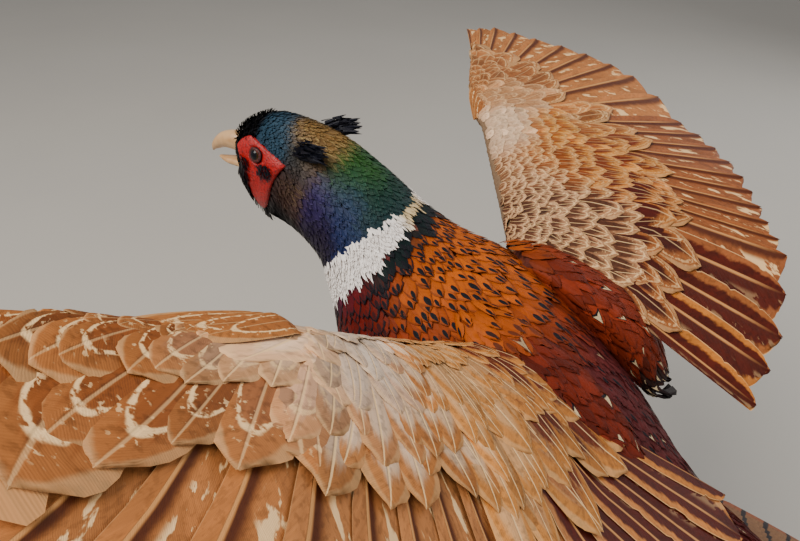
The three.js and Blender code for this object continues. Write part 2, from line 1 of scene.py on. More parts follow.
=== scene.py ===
# %% [markdown]
# # A cock pheasant mounted in flight
# A mounted bird is a stuffed skin that carries a few thousand feathers in rows. Each feather is a thin
# vane on a shaft, and it lies over the roots of the next row like a roof tile. This lesson lays those
# vanes as plain meshes on smooth surfaces: on the body, on the wings, on the tail and on the thighs.

# %% Frame and tools
import bpy
import numpy as np
from mathutils import Matrix, Vector


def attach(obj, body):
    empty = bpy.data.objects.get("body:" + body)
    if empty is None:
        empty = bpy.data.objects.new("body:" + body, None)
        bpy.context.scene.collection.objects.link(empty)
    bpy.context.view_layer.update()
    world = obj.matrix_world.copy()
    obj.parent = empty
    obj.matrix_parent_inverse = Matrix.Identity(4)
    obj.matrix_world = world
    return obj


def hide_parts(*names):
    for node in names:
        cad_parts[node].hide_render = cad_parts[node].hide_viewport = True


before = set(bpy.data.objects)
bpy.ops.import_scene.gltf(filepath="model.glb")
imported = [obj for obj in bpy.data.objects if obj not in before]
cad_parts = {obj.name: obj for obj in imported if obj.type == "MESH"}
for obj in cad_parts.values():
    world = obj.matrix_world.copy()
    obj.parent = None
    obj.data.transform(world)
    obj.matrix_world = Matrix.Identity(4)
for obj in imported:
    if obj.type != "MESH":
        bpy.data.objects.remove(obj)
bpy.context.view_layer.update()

MM = 0.001
BIRD = np.array([0.0, -6.0, 400.0])   # the bird's mid-back over the centre of the base
print("frame of", len(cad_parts), "nodes")

# %% [markdown]
# ## Camera
# The camera comes first, because every later choice of detail depends on what it sees closely. It looks
# down on the back from beside the raised left wing, with a little roll, as a person does who walks round
# the mount. A wide lens close by makes the near wing large.

# %% Camera
def place_camera(at, heading, pitch, roll, focal_pixels, width=800, sensor=36.0):
    """Looks along `heading` from +X (degrees), turned down by `pitch`. The lens is sensor times
    focal pixels / width."""
    h, p, r = np.radians([heading, pitch, roll])
    level = np.array([np.cos(h), np.sin(h), 0.0])
    forward = np.cos(p) * level - np.sin(p) * np.array([0, 0, 1.0])
    right0 = np.array([level[1], -level[0], 0.0])
    up0 = np.cross(right0, forward)
    right = np.cos(r) * right0 + np.sin(r) * up0
    up = np.cos(r) * up0 - np.sin(r) * right0
    data = bpy.data.cameras.new("camera")
    data.sensor_width = sensor
    data.lens = sensor * focal_pixels / width
    data.clip_start = 0.01
    camera = bpy.data.objects.new("camera", data)
    turn = np.column_stack([right, up, -forward])
    camera.matrix_world = Matrix.Translation(Vector(at)) @ Matrix(turn.tolist()).to_4x4()
    bpy.context.scene.collection.objects.link(camera)
    bpy.context.scene.camera = camera


place_camera(at=(0.2870, 0.0248, 0.6372), heading=-155.0, pitch=37.0, roll=3.5, focal_pixels=620)
print("lens", round(bpy.context.scene.camera.data.lens, 1), "mm")

# %% [markdown]
# ## A few sums on arrays
# Every shape below is a function of two numbers on a grid. These helpers keep vectors at length one, run
# a smooth curve through stations, and turn grids of points into one joined mesh.

# %% Small maths
def unit(v):
    """Each vector divided by its own length."""
    return v / np.maximum(np.linalg.norm(v, axis=-1, keepdims=True), 1e-9)


def smooth(x, low=0.0, high=1.0):
    """0 below low, 1 above high, and 3t^2 - 2t^3 between them."""
    t = np.clip((np.asarray(x, float) - low) / (high - low), 0, 1)
    return t * t * (3 - 2 * t)


def through(keys, t):
    """Catmull-Rom curve through rows of numbers: at a whole t it is that row, and its slope there is half
    the step from the row before to the row after."""
    keys, t = np.asarray(keys, float), np.asarray(t, float)
    i = np.clip(np.floor(t).astype(int), 0, len(keys) - 2)
    f = (t - i)[..., None]
    p, q, r, s = (keys[np.clip(i + k, 0, len(keys) - 1)] for k in (-1, 0, 1, 2))
    return q + 0.5 * f * (r - p + f * (2 * p - 5 * q + 4 * r - s + f * (3 * (q - r) + s - p)))


def grid_quads(count, along, across, closed=False):
    """Corners of the quads of `count` grids of points, each (along + 1) by (across + 1). A closed grid
    joins its last column to its first, so it has one column fewer."""
    columns = across if closed else across + 1
    i, j = np.meshgrid(np.arange(along), np.arange(across), indexing="ij")
    k = (j + 1) % columns
    corners = [i * columns + j, i * columns + k, (i + 1) * columns + k, (i + 1) * columns + j]
    quads = np.stack(corners, -1).reshape(-1, 4)
    return (quads[None] + (np.arange(count) * (along + 1) * columns)[:, None, None]).reshape(-1, 4)


def capped(points, ends, columns):
    """Points and faces of a tube of rings with `columns` points each, shut by a fan round one more point
    at either end."""
    rows = len(points) // columns - 1
    j = np.arange(columns)
    k, last, top = (j + 1) % columns, rows * columns, (rows + 1) * columns
    caps = np.concatenate([np.stack([0 * j + top, k, j], 1),
                           np.stack([0 * j + top + 1, last + j, last + k], 1)])
    faces = grid_quads(1, rows, columns, closed=True).tolist() + caps.tolist()
    return np.concatenate([points, ends]), faces


# %% Mesh from arrays
def piece(name, points, faces, material, slot, replaces=(), maps=None, values=None):
    """Makes a smooth-shaded mesh from points in mm round the bird's mid-back. Maps are UV pairs for each
    point; values are numbers, vectors or RGBA colours for each point."""
    mesh = bpy.data.meshes.new(name)
    points = (np.reshape(points, (-1, 3)) + BIRD) * MM
    mesh.from_pydata(points.tolist(), [], faces if isinstance(faces, list) else faces.tolist())
    corner = np.empty(len(mesh.loops), np.int32)
    mesh.loops.foreach_get("vertex_index", corner)
    for key, uv in (maps or {}).items():
        layer = mesh.uv_layers.new(name=key)
        layer.data.foreach_set("uv", np.reshape(uv, (-1, 2))[corner].astype(np.float32).ravel())
    kinds = {1: ("FLOAT", "value"), 3: ("FLOAT_VECTOR", "vector"), 4: ("FLOAT_COLOR", "color")}
    for key, value in (values or {}).items():
        value = np.reshape(value, (len(points), -1))
        kind, field = kinds[value.shape[1]]
        mesh.attributes.new(key, kind, "POINT").data.foreach_set(field, value.astype(np.float32).ravel())
    mesh.polygons.foreach_set("use_smooth", np.ones(len(mesh.polygons), bool))
    mesh.materials.append(material)
    mesh.update()
    made = bpy.data.objects.new(name, mesh)
    bpy.context.scene.collection.objects.link(made)
    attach(made, "root")
    if replaces:
        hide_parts(*replaces)
    print(f"{name}: {len(mesh.polygons)} faces")
    return made


# %% [markdown]
# ## The body as one surface
# The body is a row of egg-shaped rings from the tail root to the bill. Each station has its point on the
# back, its point on the belly, half its width and the level at which it is widest. Ahead of the mantle
# the rings turn a little to the bird's left, because the head looks that way.

# %% Body surface
BODY = [  # back: forward, up; belly: forward, up; half width; widest level (0 belly, 1 back)
    [-214, -124, -212, -130, 6, .50], [-192, -112, -188, -134, 15, .50], [-168, -100, -162, -140, 23, .50],
    [-146, -81, -134, -147, 31, .50], [-122, -57, -97, -150, 44.5, .50], [-88, -23, -45, -142, 58.5, .52],
    [-52, 4, 0, -124, 66, .55], [-14, 21, 46, -98, 64, .56], [16, 32, 76, -62, 54, .52],
    [40, 47, 86, -28, 42, .50], [56, 60, 90, -11, 37, .50], [72, 71, 97, 6, 33, .50],
    [88, 81, 109, 17, 30, .50], [102, 87.5, 122, 22, 26, .50], [116, 91, 134, 24, 22, .52],
    [130, 91.5, 142, 30, 19, .56], [142, 87, 148, 39, 16, .60], [151, 81, 153, 46, 12.5, .62],
    [157, 74.5, 156, 51, 8.5, .60]]
MANTLE_Y = -52.0
HEAD_TURN = np.radians(6)


def turned(forward, left, up):
    """The side plane turns by HEAD_TURN between 14 mm behind the mantle and 32 mm ahead of it."""
    turn = HEAD_TURN * smooth(forward / 45 + 0.3)
    x = np.sin(turn) * forward + np.cos(turn) * left
    y = -np.cos(turn) * forward + np.sin(turn) * left + MANTLE_Y
    return np.stack(np.broadcast_arrays(x, y, up), -1)


def body(s, a):
    """Point at station s and angle a round the ring: 0 on the back, pi under the belly, plus is left.
    The height share is (1 + cos a) / 2, and the width follows a circle stretched to the widest level."""
    bf, bz, vf, vz, half, wide = np.moveaxis(through(BODY, s), -1, 0)
    h = 0.5 + 0.5 * np.cos(a)
    level = np.where(h < wide, 0.5 * h / wide, 0.5 + 0.5 * (h - wide) / (1 - wide))
    left = half * np.sqrt(np.clip(1 - (2 * level - 1) ** 2, 0, None)) * np.sign(np.sin(a))
    return turned(vf + (bf - vf) * h, left, vz + (bz - vz) * h)


def frame_of(surface, s, a, step=2e-3):
    """Slopes of a surface along s and along a, and its outward normal, by small steps either way."""
    ds = (surface(s + step, a) - surface(s - step, a)) / (2 * step)
    da = (surface(s, a + step) - surface(s, a - step)) / (2 * step)
    return ds, da, unit(np.cross(ds, da)) * getattr(surface, "sign", 1)


# %% [markdown]
# ## Wings, thighs and shoulder pads
# A wing is a fan: each flight feather leaves the bones at its own station with its own length, sweep and
# rise. The coverts lie on a thin aerofoil in front of that fan. Thighs and shoulder pads are limbs, which
# are ovals carried along a smooth path.

# %% Wing surface
BOW = 0.055                           # how far a flight feather bows, as a share of its length
WRIST_STATION = 9.3                   # hand feathers have lower stations, arm feathers higher ones
SPREAD = {
    "left": dict(side=1, shoulder=[56, -44, 4], elbow=[121.8, -22.5, 28.8], wrist=[150, -66, 81],
                 hand=(56, -30, 27), fold=4, fan=np.array([
                     [0, 168, -28, 26], [2, 204, -19, 23], [4, 209, -8, 19], [6, 196, 6, 14],
                     [8, 180, 15, 10], [10, 165, 26, 7], [12, 162, 35, 0], [14, 160, 43, -5],
                     [17, 160, 56, -11], [19, 163, 66, -16], [21, 176, 82, -20], [23, 184, 93, -22],
                     [25, 178, 104, -22]], float)),
    "right": dict(side=-1, shoulder=[56, -50, 2], elbow=[124.8, -47.5, 23.4], wrist=[155.7, -113.3, 39.9],
                  hand=(56, -26, 2), fold=1, fan=np.array([
                      [0, 168, -25, 3], [2, 204, -16, 2], [4, 209, -4, 1], [6, 196, 12, 2],
                      [8, 180, 30, 3], [10, 165, 54, 1], [12, 161, 68, 3], [14, 159, 82, 5],
                      [17, 158, 94, 4], [19, 160, 99, 2], [21, 174, 106, -5], [23, 178, 111, -10]],
                      float))}


def both_sides(make):
    """Calls make(name of the side, 1 or -1) for the left and for the right."""
    for side_name, wing in SPREAD.items():
        make(side_name, wing["side"])


def heading(side, sweep, rise):
    """Unit vector out to one side, swept back and raised by so many degrees."""
    s, r = np.radians(sweep), np.radians(rise)
    return np.stack(np.broadcast_arrays(side * np.cos(s) * np.cos(r), np.sin(s) * np.cos(r), np.sin(r)), -1)


for wing in SPREAD.values():
    for joint in ("shoulder", "elbow", "wrist"):
        wing[joint] = np.array(wing[joint]) * [wing["side"], 1, 1]
    reach, sweep, rise = wing["hand"]
    wing["tip"] = wing["wrist"] + reach * heading(wing["side"], sweep, rise)
    wing["last"] = wing["fan"][-1, 0]


def flight(wing, at):
    """Root, length and direction of the flight feather at a station, by straight steps in the fan."""
    bones = np.stack([wing[k] for k in ("tip", "wrist", "elbow", "shoulder")])
    root = np.stack([np.interp(at, [0, 9, 19, 25], bones[:, c]) for c in range(3)], -1)
    length, sweep, rise = (np.interp(at, wing["fan"][:, 0], wing["fan"][:, c]) for c in (1, 2, 3))
    return root, length, heading(wing["side"], sweep, rise)


def fan_normal(wing, at):
    """Upward normal of the fan: the cross product of the feathers a station and a half to either side."""
    a = flight(wing, np.maximum(at - 1.5, 0))[2]
    b = flight(wing, np.minimum(at + 1.5, wing["last"]))[2]
    n = unit(np.cross(a, b))
    return n * np.sign(n[..., 2:3])


def fan_point(wing, at, part, lift=0.0):
    """Root + direction * length * part, bowed by a parabola that ends a little below the line."""
    root, length, way = flight(wing, at)
    sag = BOW * length * (0.6 * part - part ** 2) + lift
    return root + way * (length * part)[..., None] + fan_normal(wing, at) * sag[..., None]


def covert_reach(at):
    """Share of a flight feather that the coverts hide."""
    return np.where(at < WRIST_STATION, 0.5 - 0.006 * at, 0.47 + 0.002 * (at - WRIST_STATION))


def leading_edge(wing, at):
    """Straight from the shoulder to the wrist, then on along the hand, ahead of the bones by the fold."""
    arm_share = np.clip((wing["last"] - 0.2 - at) / (wing["last"] - 9.54), 0, 1)[..., None]
    hand_share = np.clip((9.28 - at) / 9.68, 0, 1)[..., None]
    _, sweep, rise = wing["hand"]
    arm = wing["shoulder"] + (wing["wrist"] - wing["shoulder"]) * arm_share
    arm = arm + heading(wing["side"], -75, 4) * wing["fold"]
    hand = wing["wrist"] + (wing["tip"] - wing["wrist"]) * hand_share
    hand = hand + heading(wing["side"], sweep, rise) * 20 * hand_share
    hand = hand + heading(wing["side"], sweep - 80, 0) * 4
    share = smooth(at, 8.6, 10.0)[..., None]
    return hand * (1 - share) + arm * share


def wing_face(wing, at, part, under=False):
    """The coverts' aerofoil up to covert_reach, then the fan itself. The upper side swells as
    root(c) (1 - c)^1.3 and the lower side as root(c) (1 - c)^3, where c is the share of the chord."""
    reach = covert_reach(at)
    c = np.clip(part / reach, 0, 1)
    front, back = leading_edge(wing, at), fan_point(wing, at, reach, 1.5)
    inward = np.clip((at - WRIST_STATION) / (wing["last"] - 9.5), 0, 1)
    depth = np.where(at > WRIST_STATION, 8 + 7 * inward, 3 + 3.5 * np.clip(at / WRIST_STATION, 0, 1))
    if under:
        swell = -0.6 * 4.2 * np.sqrt(c) * (1 - c) ** 3 * depth - 1.2
    else:
        swell = 2.9 * np.sqrt(c) * (1 - c) ** 1.3 * depth + 0.1 * depth * c
    foil = front + (back - front) * c[..., None] + fan_normal(wing, at) * swell[..., None]
    level = 1.5 + 0.1 * depth * smooth(part, reach + 0.25, reach)
    beyond = fan_point(wing, at, np.maximum(part, reach), -1.8 if under else level)
    return np.where((part > reach)[..., None], beyond, foil)


# %% Limbs
def limb(path, radii, t, a, up):
    """Oval of radii(t) round a smooth path at share t: across is tangent x up, deep is across x tangent."""
    n = len(path) - 1
    centre = through(path, t * n)
    along = unit(through(path, t * n + 0.01) - through(path, t * n - 0.01))
    across = unit(np.cross(along, np.broadcast_to(np.asarray(up, float), along.shape)))
    deep = np.cross(across, along)
    wide, high = np.moveaxis(through(radii, t * n), -1, 0)
    return centre + across * (wide * np.cos(a))[..., None] + deep * (high * np.sin(a))[..., None]


PADS = {
    "left": ([[30, -50, 16], [41, -22, 7], [45, 14, -9], [45, 48, -33], [42, 76, -60]],
             [[8, 4], [18, 7], [20, 8], [17, 7], [7, 4]]),
    "right": ([[30, -50, 16], [44, -22, 5], [49, 12, -12], [48, 40, -31], [41, 63, -51]],
              [[10, 5], [28, 12], [38, 17], [33, 17], [14, 9]])}
THIGH = ([[40, 0, -104], [45, 22, -128], [38.4, 48.4, -150], [33, 70, -168]],
         [[18, 24], [22, 26], [13, 16], [5.5, 6]])


def pad(name):
    """Surface of a shoulder pad: t from the mantle backwards, a round it with pi / 2 on top."""
    side = SPREAD[name]["side"]
    path, radii = np.array(PADS[name][0]) * [side, 1, 1], PADS[name][1]
    return lambda t, a: limb(path, radii, t, a, (side * 0.45, 0.2, 1))


def thigh(side):
    """Surface of a thigh: t from hip to ankle."""
    path = np.array(THIGH[0]) * [side, 1, 1]
    return lambda t, a: limb(path, THIGH[1], t, a, (0, 0, 1))


# %% [markdown]
# ## Colours of the plumage
# A cock's body is painted in regions that melt into each other. Each region is named here with a colour
# and the place of its middle, as a station along the body and an angle from the back. A point takes the
# mean of all regions, weighted by nearness, and skin and feathers ask the same function.

# %% Region colours
DEPTH, RICHNESS = 0.75, 1.03          # soft light makes every colour a little paler and greyer


def paint(red, green, blue):
    """A colour from 0..255 screen values as linear light: DEPTH (grey + RICHNESS (colour - grey))."""
    colour = np.array([red, green, blue]) ** 2.2 / 255 ** 2.2
    grey = colour.mean()
    return np.clip(DEPTH * (grey + (colour - grey) * RICHNESS), 0.002, 1)


COPPER, MAROON, PLUM = paint(190, 92, 20), paint(104, 28, 20), paint(98, 44, 44)
WINE, RUST, EMBER = paint(88, 34, 30), paint(128, 48, 24), paint(152, 62, 22)
TEAL, SLATE, BLUE = paint(18, 46, 54), paint(40, 66, 84), paint(30, 42, 84)
VIOLET, PURPLE, NIGHT = paint(48, 36, 84), paint(34, 22, 48), paint(16, 12, 24)
GREEN, LEAF, BRONZE = paint(18, 56, 42), paint(42, 82, 26), paint(120, 88, 46)
SOOT, UMBER, CREAM = paint(12, 13, 17), paint(74, 50, 44), paint(226, 200, 156)
REGIONS = [  # station, degrees from the back, colour
    (0, 90, RUST), (2, 20, WINE), (2, 120, UMBER), (4.2, 10, PLUM), (4.2, 90, RUST), (4.5, 160, UMBER),
    (5.4, 15, PLUM), (5.4, 70, RUST), (6.2, 150, UMBER), (6.3, 20, RUST), (6.9, 20, COPPER),
    (7.6, 10, COPPER), (8.4, 30, COPPER), (7.4, 60, EMBER), (6.6, 95, MAROON), (8.2, 95, MAROON),
    (8.4, 150, MAROON), (7.3, 150, WINE), (9.0, 62, MAROON), (9.1, 84, MAROON), (9.9, 30, TEAL),
    (10.3, 15, GREEN), (9.9, 80, BLUE), (10, 140, NIGHT), (11.2, 14, LEAF), (11.8, 26, LEAF),
    (11.2, 45, BLUE), (12, 66, VIOLET), (11.6, 100, PURPLE), (11.5, 150, NIGHT), (12.8, 8, BRONZE),
    (12.9, 24, BRONZE), (13.6, 6, BRONZE), (13.2, 84, UMBER), (13.2, 48, TEAL), (14.6, 20, SLATE),
    (14.4, 42, SLATE), (13.4, 130, NIGHT), (15.5, 160, SOOT), (16.4, 12, NIGHT), (17.4, 60, SOOT)]


def blend(table, x, y, near=4.0):
    """Weighted mean of rows (x, y, values...), each weight exp(-near d^2) for a distance d in x and y."""
    place = np.array([row[:2] for row in table], float)
    values = np.array([np.concatenate([np.ravel(v) for v in row[2:]]) for row in table])
    far = (np.ravel(x)[:, None] - place[:, 0]) ** 2 + (np.ravel(y)[:, None] - place[:, 1]) ** 2
    weight = np.exp(-near * (far - far.min(1, keepdims=True)))
    return (weight @ values) / weight.sum(1, keepdims=True)


def wrap(a):
    """Degrees from the back, 0 to 180."""
    return np.degrees(np.abs((a + np.pi) % (2 * np.pi) - np.pi))


def region_colour(s, a):
    """The region colours, with 50 degrees round the body as far as one station along it."""
    return blend([(k, d / 50.0, c) for k, d, c in REGIONS], s, wrap(a) / 50.0)


def collar(s, a):
    """1 inside the white ring, 0 outside: its edges are two wavy curves round the neck base."""
    turn = wrap(a)
    wave = 0.05 * np.sin(a * 17) + 0.04 * np.sin(a * 31 + 1)
    upper = np.interp(turn, [0, 12, 25, 67, 105, 180], [9.45, 9.55, 9.72, 10.22, 10.62, 10.6]) + wave
    lower = np.interp(turn, [0, 12, 22, 60, 118, 180], [9.3, 9.27, 9.25, 9.22, 9.55, 9.75]) + wave
    return (s < upper) & (s > lower)


print(len(REGIONS), "colour regions")

# %% [markdown]
# ## A feather as a draped grid
# One feather is a small grid of points: u runs from root to tip and v from edge to edge. Its outline
# closes at the tip, some edge points are pulled in where the barbs have parted, and the whole grid is
# wrapped on the surface that carries it, so that it follows the curves of the bird.

# %% Feather grid
def unit_grid(rows, columns):
    """u from 0 at the root to 1 at the tip and v from -1 to 1 across, shaped to spread over feathers."""
    return np.linspace(0, 1, rows + 1)[None, :, None], np.linspace(-1, 1, columns + 1)[None, None, :]


def vanes(points, ahead, side, u, v, chance, **more):
    """Feathers as one record: points, the map over each vane, and `lie`, which is mm ahead of the root, mm
    beside the shaft and a number from 0 to 1 for each feather."""
    shape = points.shape[:3]

    def layers(*values):
        return np.stack([np.broadcast_to(value, shape) for value in values], -1)

    return dict(points=points, vane=layers(0.5 + 0.5 * v, u), lie=layers(ahead, side, chance),
                count=shape[0], grid=(shape[1] - 1, shape[2] - 1), **more)


def coloured(feather, tint, core, marks, bake):
    """Adds the colour, the colour of the middle, three mark strengths and a bake map."""
    form = feather["points"].shape
    for key, value in (("tint", tint), ("core", core), ("marks", marks)):
        feather[key] = np.broadcast_to(value, form)
    feather["bake"] = bake
    return feather


def outline(u, tip, base):
    """Half-width share: rises from `base` over the first 40% and closes as root(1 - u^tip)."""
    rise = base + (1 - base) * np.sin(0.5 * np.pi * np.clip(u / 0.4, 0, 1))
    return np.maximum(np.sqrt(np.clip(1 - u ** tip, 0, 1)) * rise, 0.1)


def feathers(surface, s, a, way, length, width, rise, grid, tip=4.0, base=0.45, sink=1.0,
              arch=0.12, ragged=0.1, bend=0.0, splay=0.0, seed=1):
    """Drapes one feather at each place (s, a) of a surface. `way` is the pair (ds, da) that it points
    along. A vertex lies at root + L u t + W v outline(u) b, found on the surface by solving for the steps
    in s and a, and stands over it by -sink + (rise + sink) u + arch W (1 - v^2)."""
    rng = np.random.default_rng(seed)
    s, a = np.ravel(s).astype(float), np.ravel(a).astype(float)
    n, (rows, columns) = len(s), grid
    length, width, rise = (np.broadcast_to(x, n).astype(float)[:, None, None] for x in (length, width, rise))
    ds, da, up = frame_of(surface, s, a)
    t = unit(ds * np.broadcast_to(way[0], n)[:, None] + da * np.broadcast_to(way[1], n)[:, None])
    if np.any(splay):
        t = unit(t + np.cross(up, t) * np.broadcast_to(splay, n)[:, None])
    b = np.cross(up, t)
    u, v = unit_grid(rows, columns)
    u = 1 - (1 - u) ** 1.9
    half = 0.5 * width * outline(u, tip, base)
    torn = 1 + ragged * rng.uniform(-1, 0.6, (n, rows + 1, 2))
    torn *= np.where(rng.random((n, rows + 1, 2)) < 1.2 * ragged, 0.62, 1.0)
    edge = np.where(v < 0, torn[..., :1], torn[..., 1:])
    side = v * half * np.where(np.abs(v) > 0.99, edge, 1.0)
    uneven = 1 + 0.4 * ragged * rng.uniform(-1, 1, (n, 1, columns + 1)) * u
    ahead = length * (u - 0.07 * v ** 2 * u) * uneven
    side = side + np.broadcast_to(bend, n)[:, None, None] * length * u ** 2
    step = t[:, None, None] * ahead[..., None] + b[:, None, None] * side[..., None]
    gss, gsa, gaa = (ds * ds).sum(-1), (ds * da).sum(-1), (da * da).sum(-1)
    det = np.maximum(gss * gaa - gsa ** 2, 1e-6)[:, None, None]
    es, ea = (step * ds[:, None, None]).sum(-1), (step * da[:, None, None]).sum(-1)
    to_s = (gaa[:, None, None] * es - gsa[:, None, None] * ea) / det
    to_a = (gss[:, None, None] * ea - gsa[:, None, None] * es) / det
    ps, pa = s[:, None, None] + to_s, a[:, None, None] + to_a
    normal = frame_of(surface, ps, pa)[2]
    over = -sink + (rise + sink) * u + arch * half * (1 - v ** 2)
    points = surface(ps, pa) + normal * over[..., None]
    return vanes(points, ahead, side, u, v, rng.random(n)[:, None, None], s=s, a=a)


def square_patches(count, fill):
    """Bake patches in a square of rows, for feathers that have no unwrap."""
    row = np.ceil(np.sqrt(count))
    k = np.arange(count)
    return (k % row + 0.5) / row, (k // row + 0.5) / row, fill / row, fill / row


def patches(coat, across, down, wide, high):
    """A UV patch for each feather on an unwrap of the surface: its root's place, then u and v inside it."""
    at = np.stack([np.ravel(across), np.ravel(down)], -1)[:, None, None]
    return at + (coat["vane"] - 0.5) * np.array([wide, high])


def coat_piece(name, coats, material, slot, replaces=()):
    """Joins feathers of one kind, or of several with the same grid, into one mesh with all their maps."""
    coats = coats if isinstance(coats, list) else [coats]
    rows, columns = coats[0]["grid"]
    count = sum(c["count"] for c in coats)
    whole = {k: np.concatenate([c[k].reshape(-1, c[k].shape[-1]) for c in coats])
             for k in ("points", "vane", "lie", "tint", "core", "marks", "bake")}
    opaque = np.ones((len(whole["tint"]), 1))
    return piece(name, whole["points"], grid_quads(count, rows, columns), material, slot, replaces,
                 maps={"OFBake": whole["bake"], "Vane": whole["vane"]},
                 values={"lie": whole["lie"], "marks": whole["marks"],
                         "tint": np.concatenate([whole["tint"], opaque], 1),
                         "core": np.concatenate([whole["core"], opaque], 1)})


def dress(coat, tint, marks, bake, core=None, vary=0.12):
    """Adds to each feather its colour, the colour of its middle, three mark strengths and a bake patch."""
    shape = coat["points"].shape
    light = 1 + vary * np.random.default_rng(3).normal(size=(coat["count"], 1))
    for key, colour in (("tint", tint), ("core", tint if core is None else core)):
        colour = np.broadcast_to(np.clip(np.asarray(colour) * light, 0, 1), (coat["count"], 3))
        coat[key] = np.broadcast_to(colour[:, None, None], shape)
    marks = np.broadcast_to(np.asarray(marks, float), (coat["count"], 3))
    coat["marks"] = np.broadcast_to(marks[:, None, None], shape)
    coat["bake"] = patches(coat, *bake)
    return coat


# %% Rows over the body
def rows_of_roots(start, end, spacing, gap, seed, surface=body, jitter=0.18):
    """Roots in staggered rows from station `start` down to `end`. Rows are `spacing` mm apart at the side,
    feathers `gap` mm apart round the ring; a little disorder hides the rows. Also returns each root's place
    in an unwrap and the largest patch that fits between neighbours."""
    rng = np.random.default_rng(seed)
    line = np.linspace(start, end, 600)
    side = surface(line, np.full(600, 0.2 * (2 * np.pi)))
    run = np.concatenate([[0], np.cumsum(np.linalg.norm(np.diff(side, axis=0), axis=1))])
    per_mm = 1 / (spacing(line) if callable(spacing) else np.full(600, float(spacing)))
    phase = np.concatenate([[0], np.cumsum(0.5 * (per_mm[1:] + per_mm[:-1]) * np.diff(run))])
    stations = np.interp(np.arange(0.5, phase[-1]), phase, line)
    around = np.linspace(-np.pi, np.pi, 91)
    places = []
    for k, s in enumerate(stations):
        ring = np.linalg.norm(np.diff(surface(np.full(91, s), around), axis=0), axis=1).cumsum()
        ring = np.concatenate([[0], ring])
        wanted = gap(s) if callable(gap) else gap
        count = max(3, int(round(ring[-1] / wanted)))
        mid = (np.arange(count) + (0.25 if k % 2 else 0.75)) / count
        mid = (mid + rng.normal(0, jitter / count, count)) % 1.0
        columns = (s, np.interp(mid * ring[-1], ring, around), (np.arange(count) + 0.5) / count,
                   (k + 0.5) / len(stations))
        places.append(np.stack(np.broadcast_arrays(*columns), 1))
    widest = max(len(p) for p in places)
    grid = np.concatenate(places)
    row_step = abs(start - end) / len(stations)
    grid[:, 0] += rng.normal(0, jitter * row_step, len(grid))
    return grid[:, 0], grid[:, 1], (grid[:, 2], grid[:, 3], 0.85 / widest, 0.85 / len(stations))


# %% [markdown]
# ## Finishes
# Feathers share one anatomy: a pale or dark shaft in the middle, barbs that run from it at a slant, and an
# edge that wears thin. A node group works these out once from the feather's own map, and each material
# mixes its colours with the masks that the group puts out.

# %% Node helpers
class Wire:
    """A value in a node tree that can be added, multiplied and compared; each step adds a Math node."""

    def __init__(self, tree, socket):
        self.tree, self.socket = tree, socket

    def math(self, operation, *others):
        """One Math node on this value and the others."""
        node = self.tree.nodes.new("ShaderNodeMath")
        node.operation = operation
        for socket, value in zip(node.inputs, (self, *others)):
            feed(self.tree, socket, value)
        return Wire(self.tree, node.outputs[0])

    def __add__(self, other):
        return self.math("ADD", other)

    def __sub__(self, other):
        return self.math("SUBTRACT", other)

    def __mul__(self, other):
        return self.math("MULTIPLY", other)

    def __truediv__(self, other):
        return self.math("DIVIDE", other)

    def __rsub__(self, other):
        return (self * -1.0) + other

    def size(self):
        """The value without its sign."""
        return self.math("ABSOLUTE")

    def wave(self, repeat):
        """0.5 + 0.5 sin(2 pi repeat x)."""
        return (self * (2 * np.pi * repeat)).math("SINE") * 0.5 + 0.5

    def step(self, low, high):
        """0 below low, 1 above high and smooth between; high may be below low."""
        node = self.tree.nodes.new("ShaderNodeMapRange")
        node.interpolation_type = "SMOOTHSTEP"
        for key, value in (("Value", self), ("From Min", min(low, high)), ("From Max", max(low, high)),
                           ("To Min", float(high < low)), ("To Max", float(high > low))):
            feed(self.tree, node.inputs[key], value)
        return Wire(self.tree, node.outputs["Result"])


def feed(tree, socket, value):
    """Links a wire to a socket, or sets the socket to a plain number or colour."""
    if isinstance(value, Wire):
        tree.links.new(value.socket, socket)
    elif np.ndim(value) and socket.type == "RGBA":
        socket.default_value = (*value[:3], 1.0)
    else:
        socket.default_value = value


def mix(tree, low, high, share):
    """Colour mix: share 0 gives low and share 1 gives high."""
    node = tree.nodes.new("ShaderNodeMix")
    node.data_type = "RGBA"
    feed(tree, node.inputs["Factor"], share)
    feed(tree, node.inputs[6], low)
    feed(tree, node.inputs[7], high)
    return Wire(tree, node.outputs[2])


def scaled(tree, colour, factor):
    """A colour multiplied by a value."""
    node = tree.nodes.new("ShaderNodeVectorMath")
    node.operation = "SCALE"
    feed(tree, node.inputs[0], colour)
    feed(tree, node.inputs["Scale"], factor)
    return Wire(tree, node.outputs[0])


def laid(tree, colour, *coats):
    """Lays coats over a colour in turn, each with its share. A coat is a colour, or a factor for the colour
    under it."""
    for coat, share in coats:
        if isinstance(coat, float):
            coat = scaled(tree, colour, coat)
        colour = mix(tree, colour, coat, share)
    return colour


def attribute(tree, name, output="Fac"):
    """A number, vector or colour that each point carries."""
    node = tree.nodes.new("ShaderNodeAttribute")
    node.attribute_name = name
    return Wire(tree, node.outputs[output])


def parts(tree, vector):
    """The x, y and z of a vector."""
    node = tree.nodes.new("ShaderNodeSeparateXYZ")
    feed(tree, node.inputs[0], vector)
    return [Wire(tree, out) for out in node.outputs]


def joined(tree, x, y, z=0.0):
    """A vector from x, y and z."""
    node = tree.nodes.new("ShaderNodeCombineXYZ")
    for socket, value in zip(node.inputs, (x, y, z)):
        feed(tree, socket, value)
    return Wire(tree, node.outputs[0])


def noise(tree, where, scale, detail=3.0):
    """Noise from 0 to 1 at a vector, or at a tuple of its x, y and z."""
    node = tree.nodes.new("ShaderNodeTexNoise")
    feed(tree, node.inputs["Vector"], joined(tree, *where) if isinstance(where, tuple) else where)
    node.inputs["Scale"].default_value = scale
    node.inputs["Detail"].default_value = detail
    return Wire(tree, node.outputs[0])


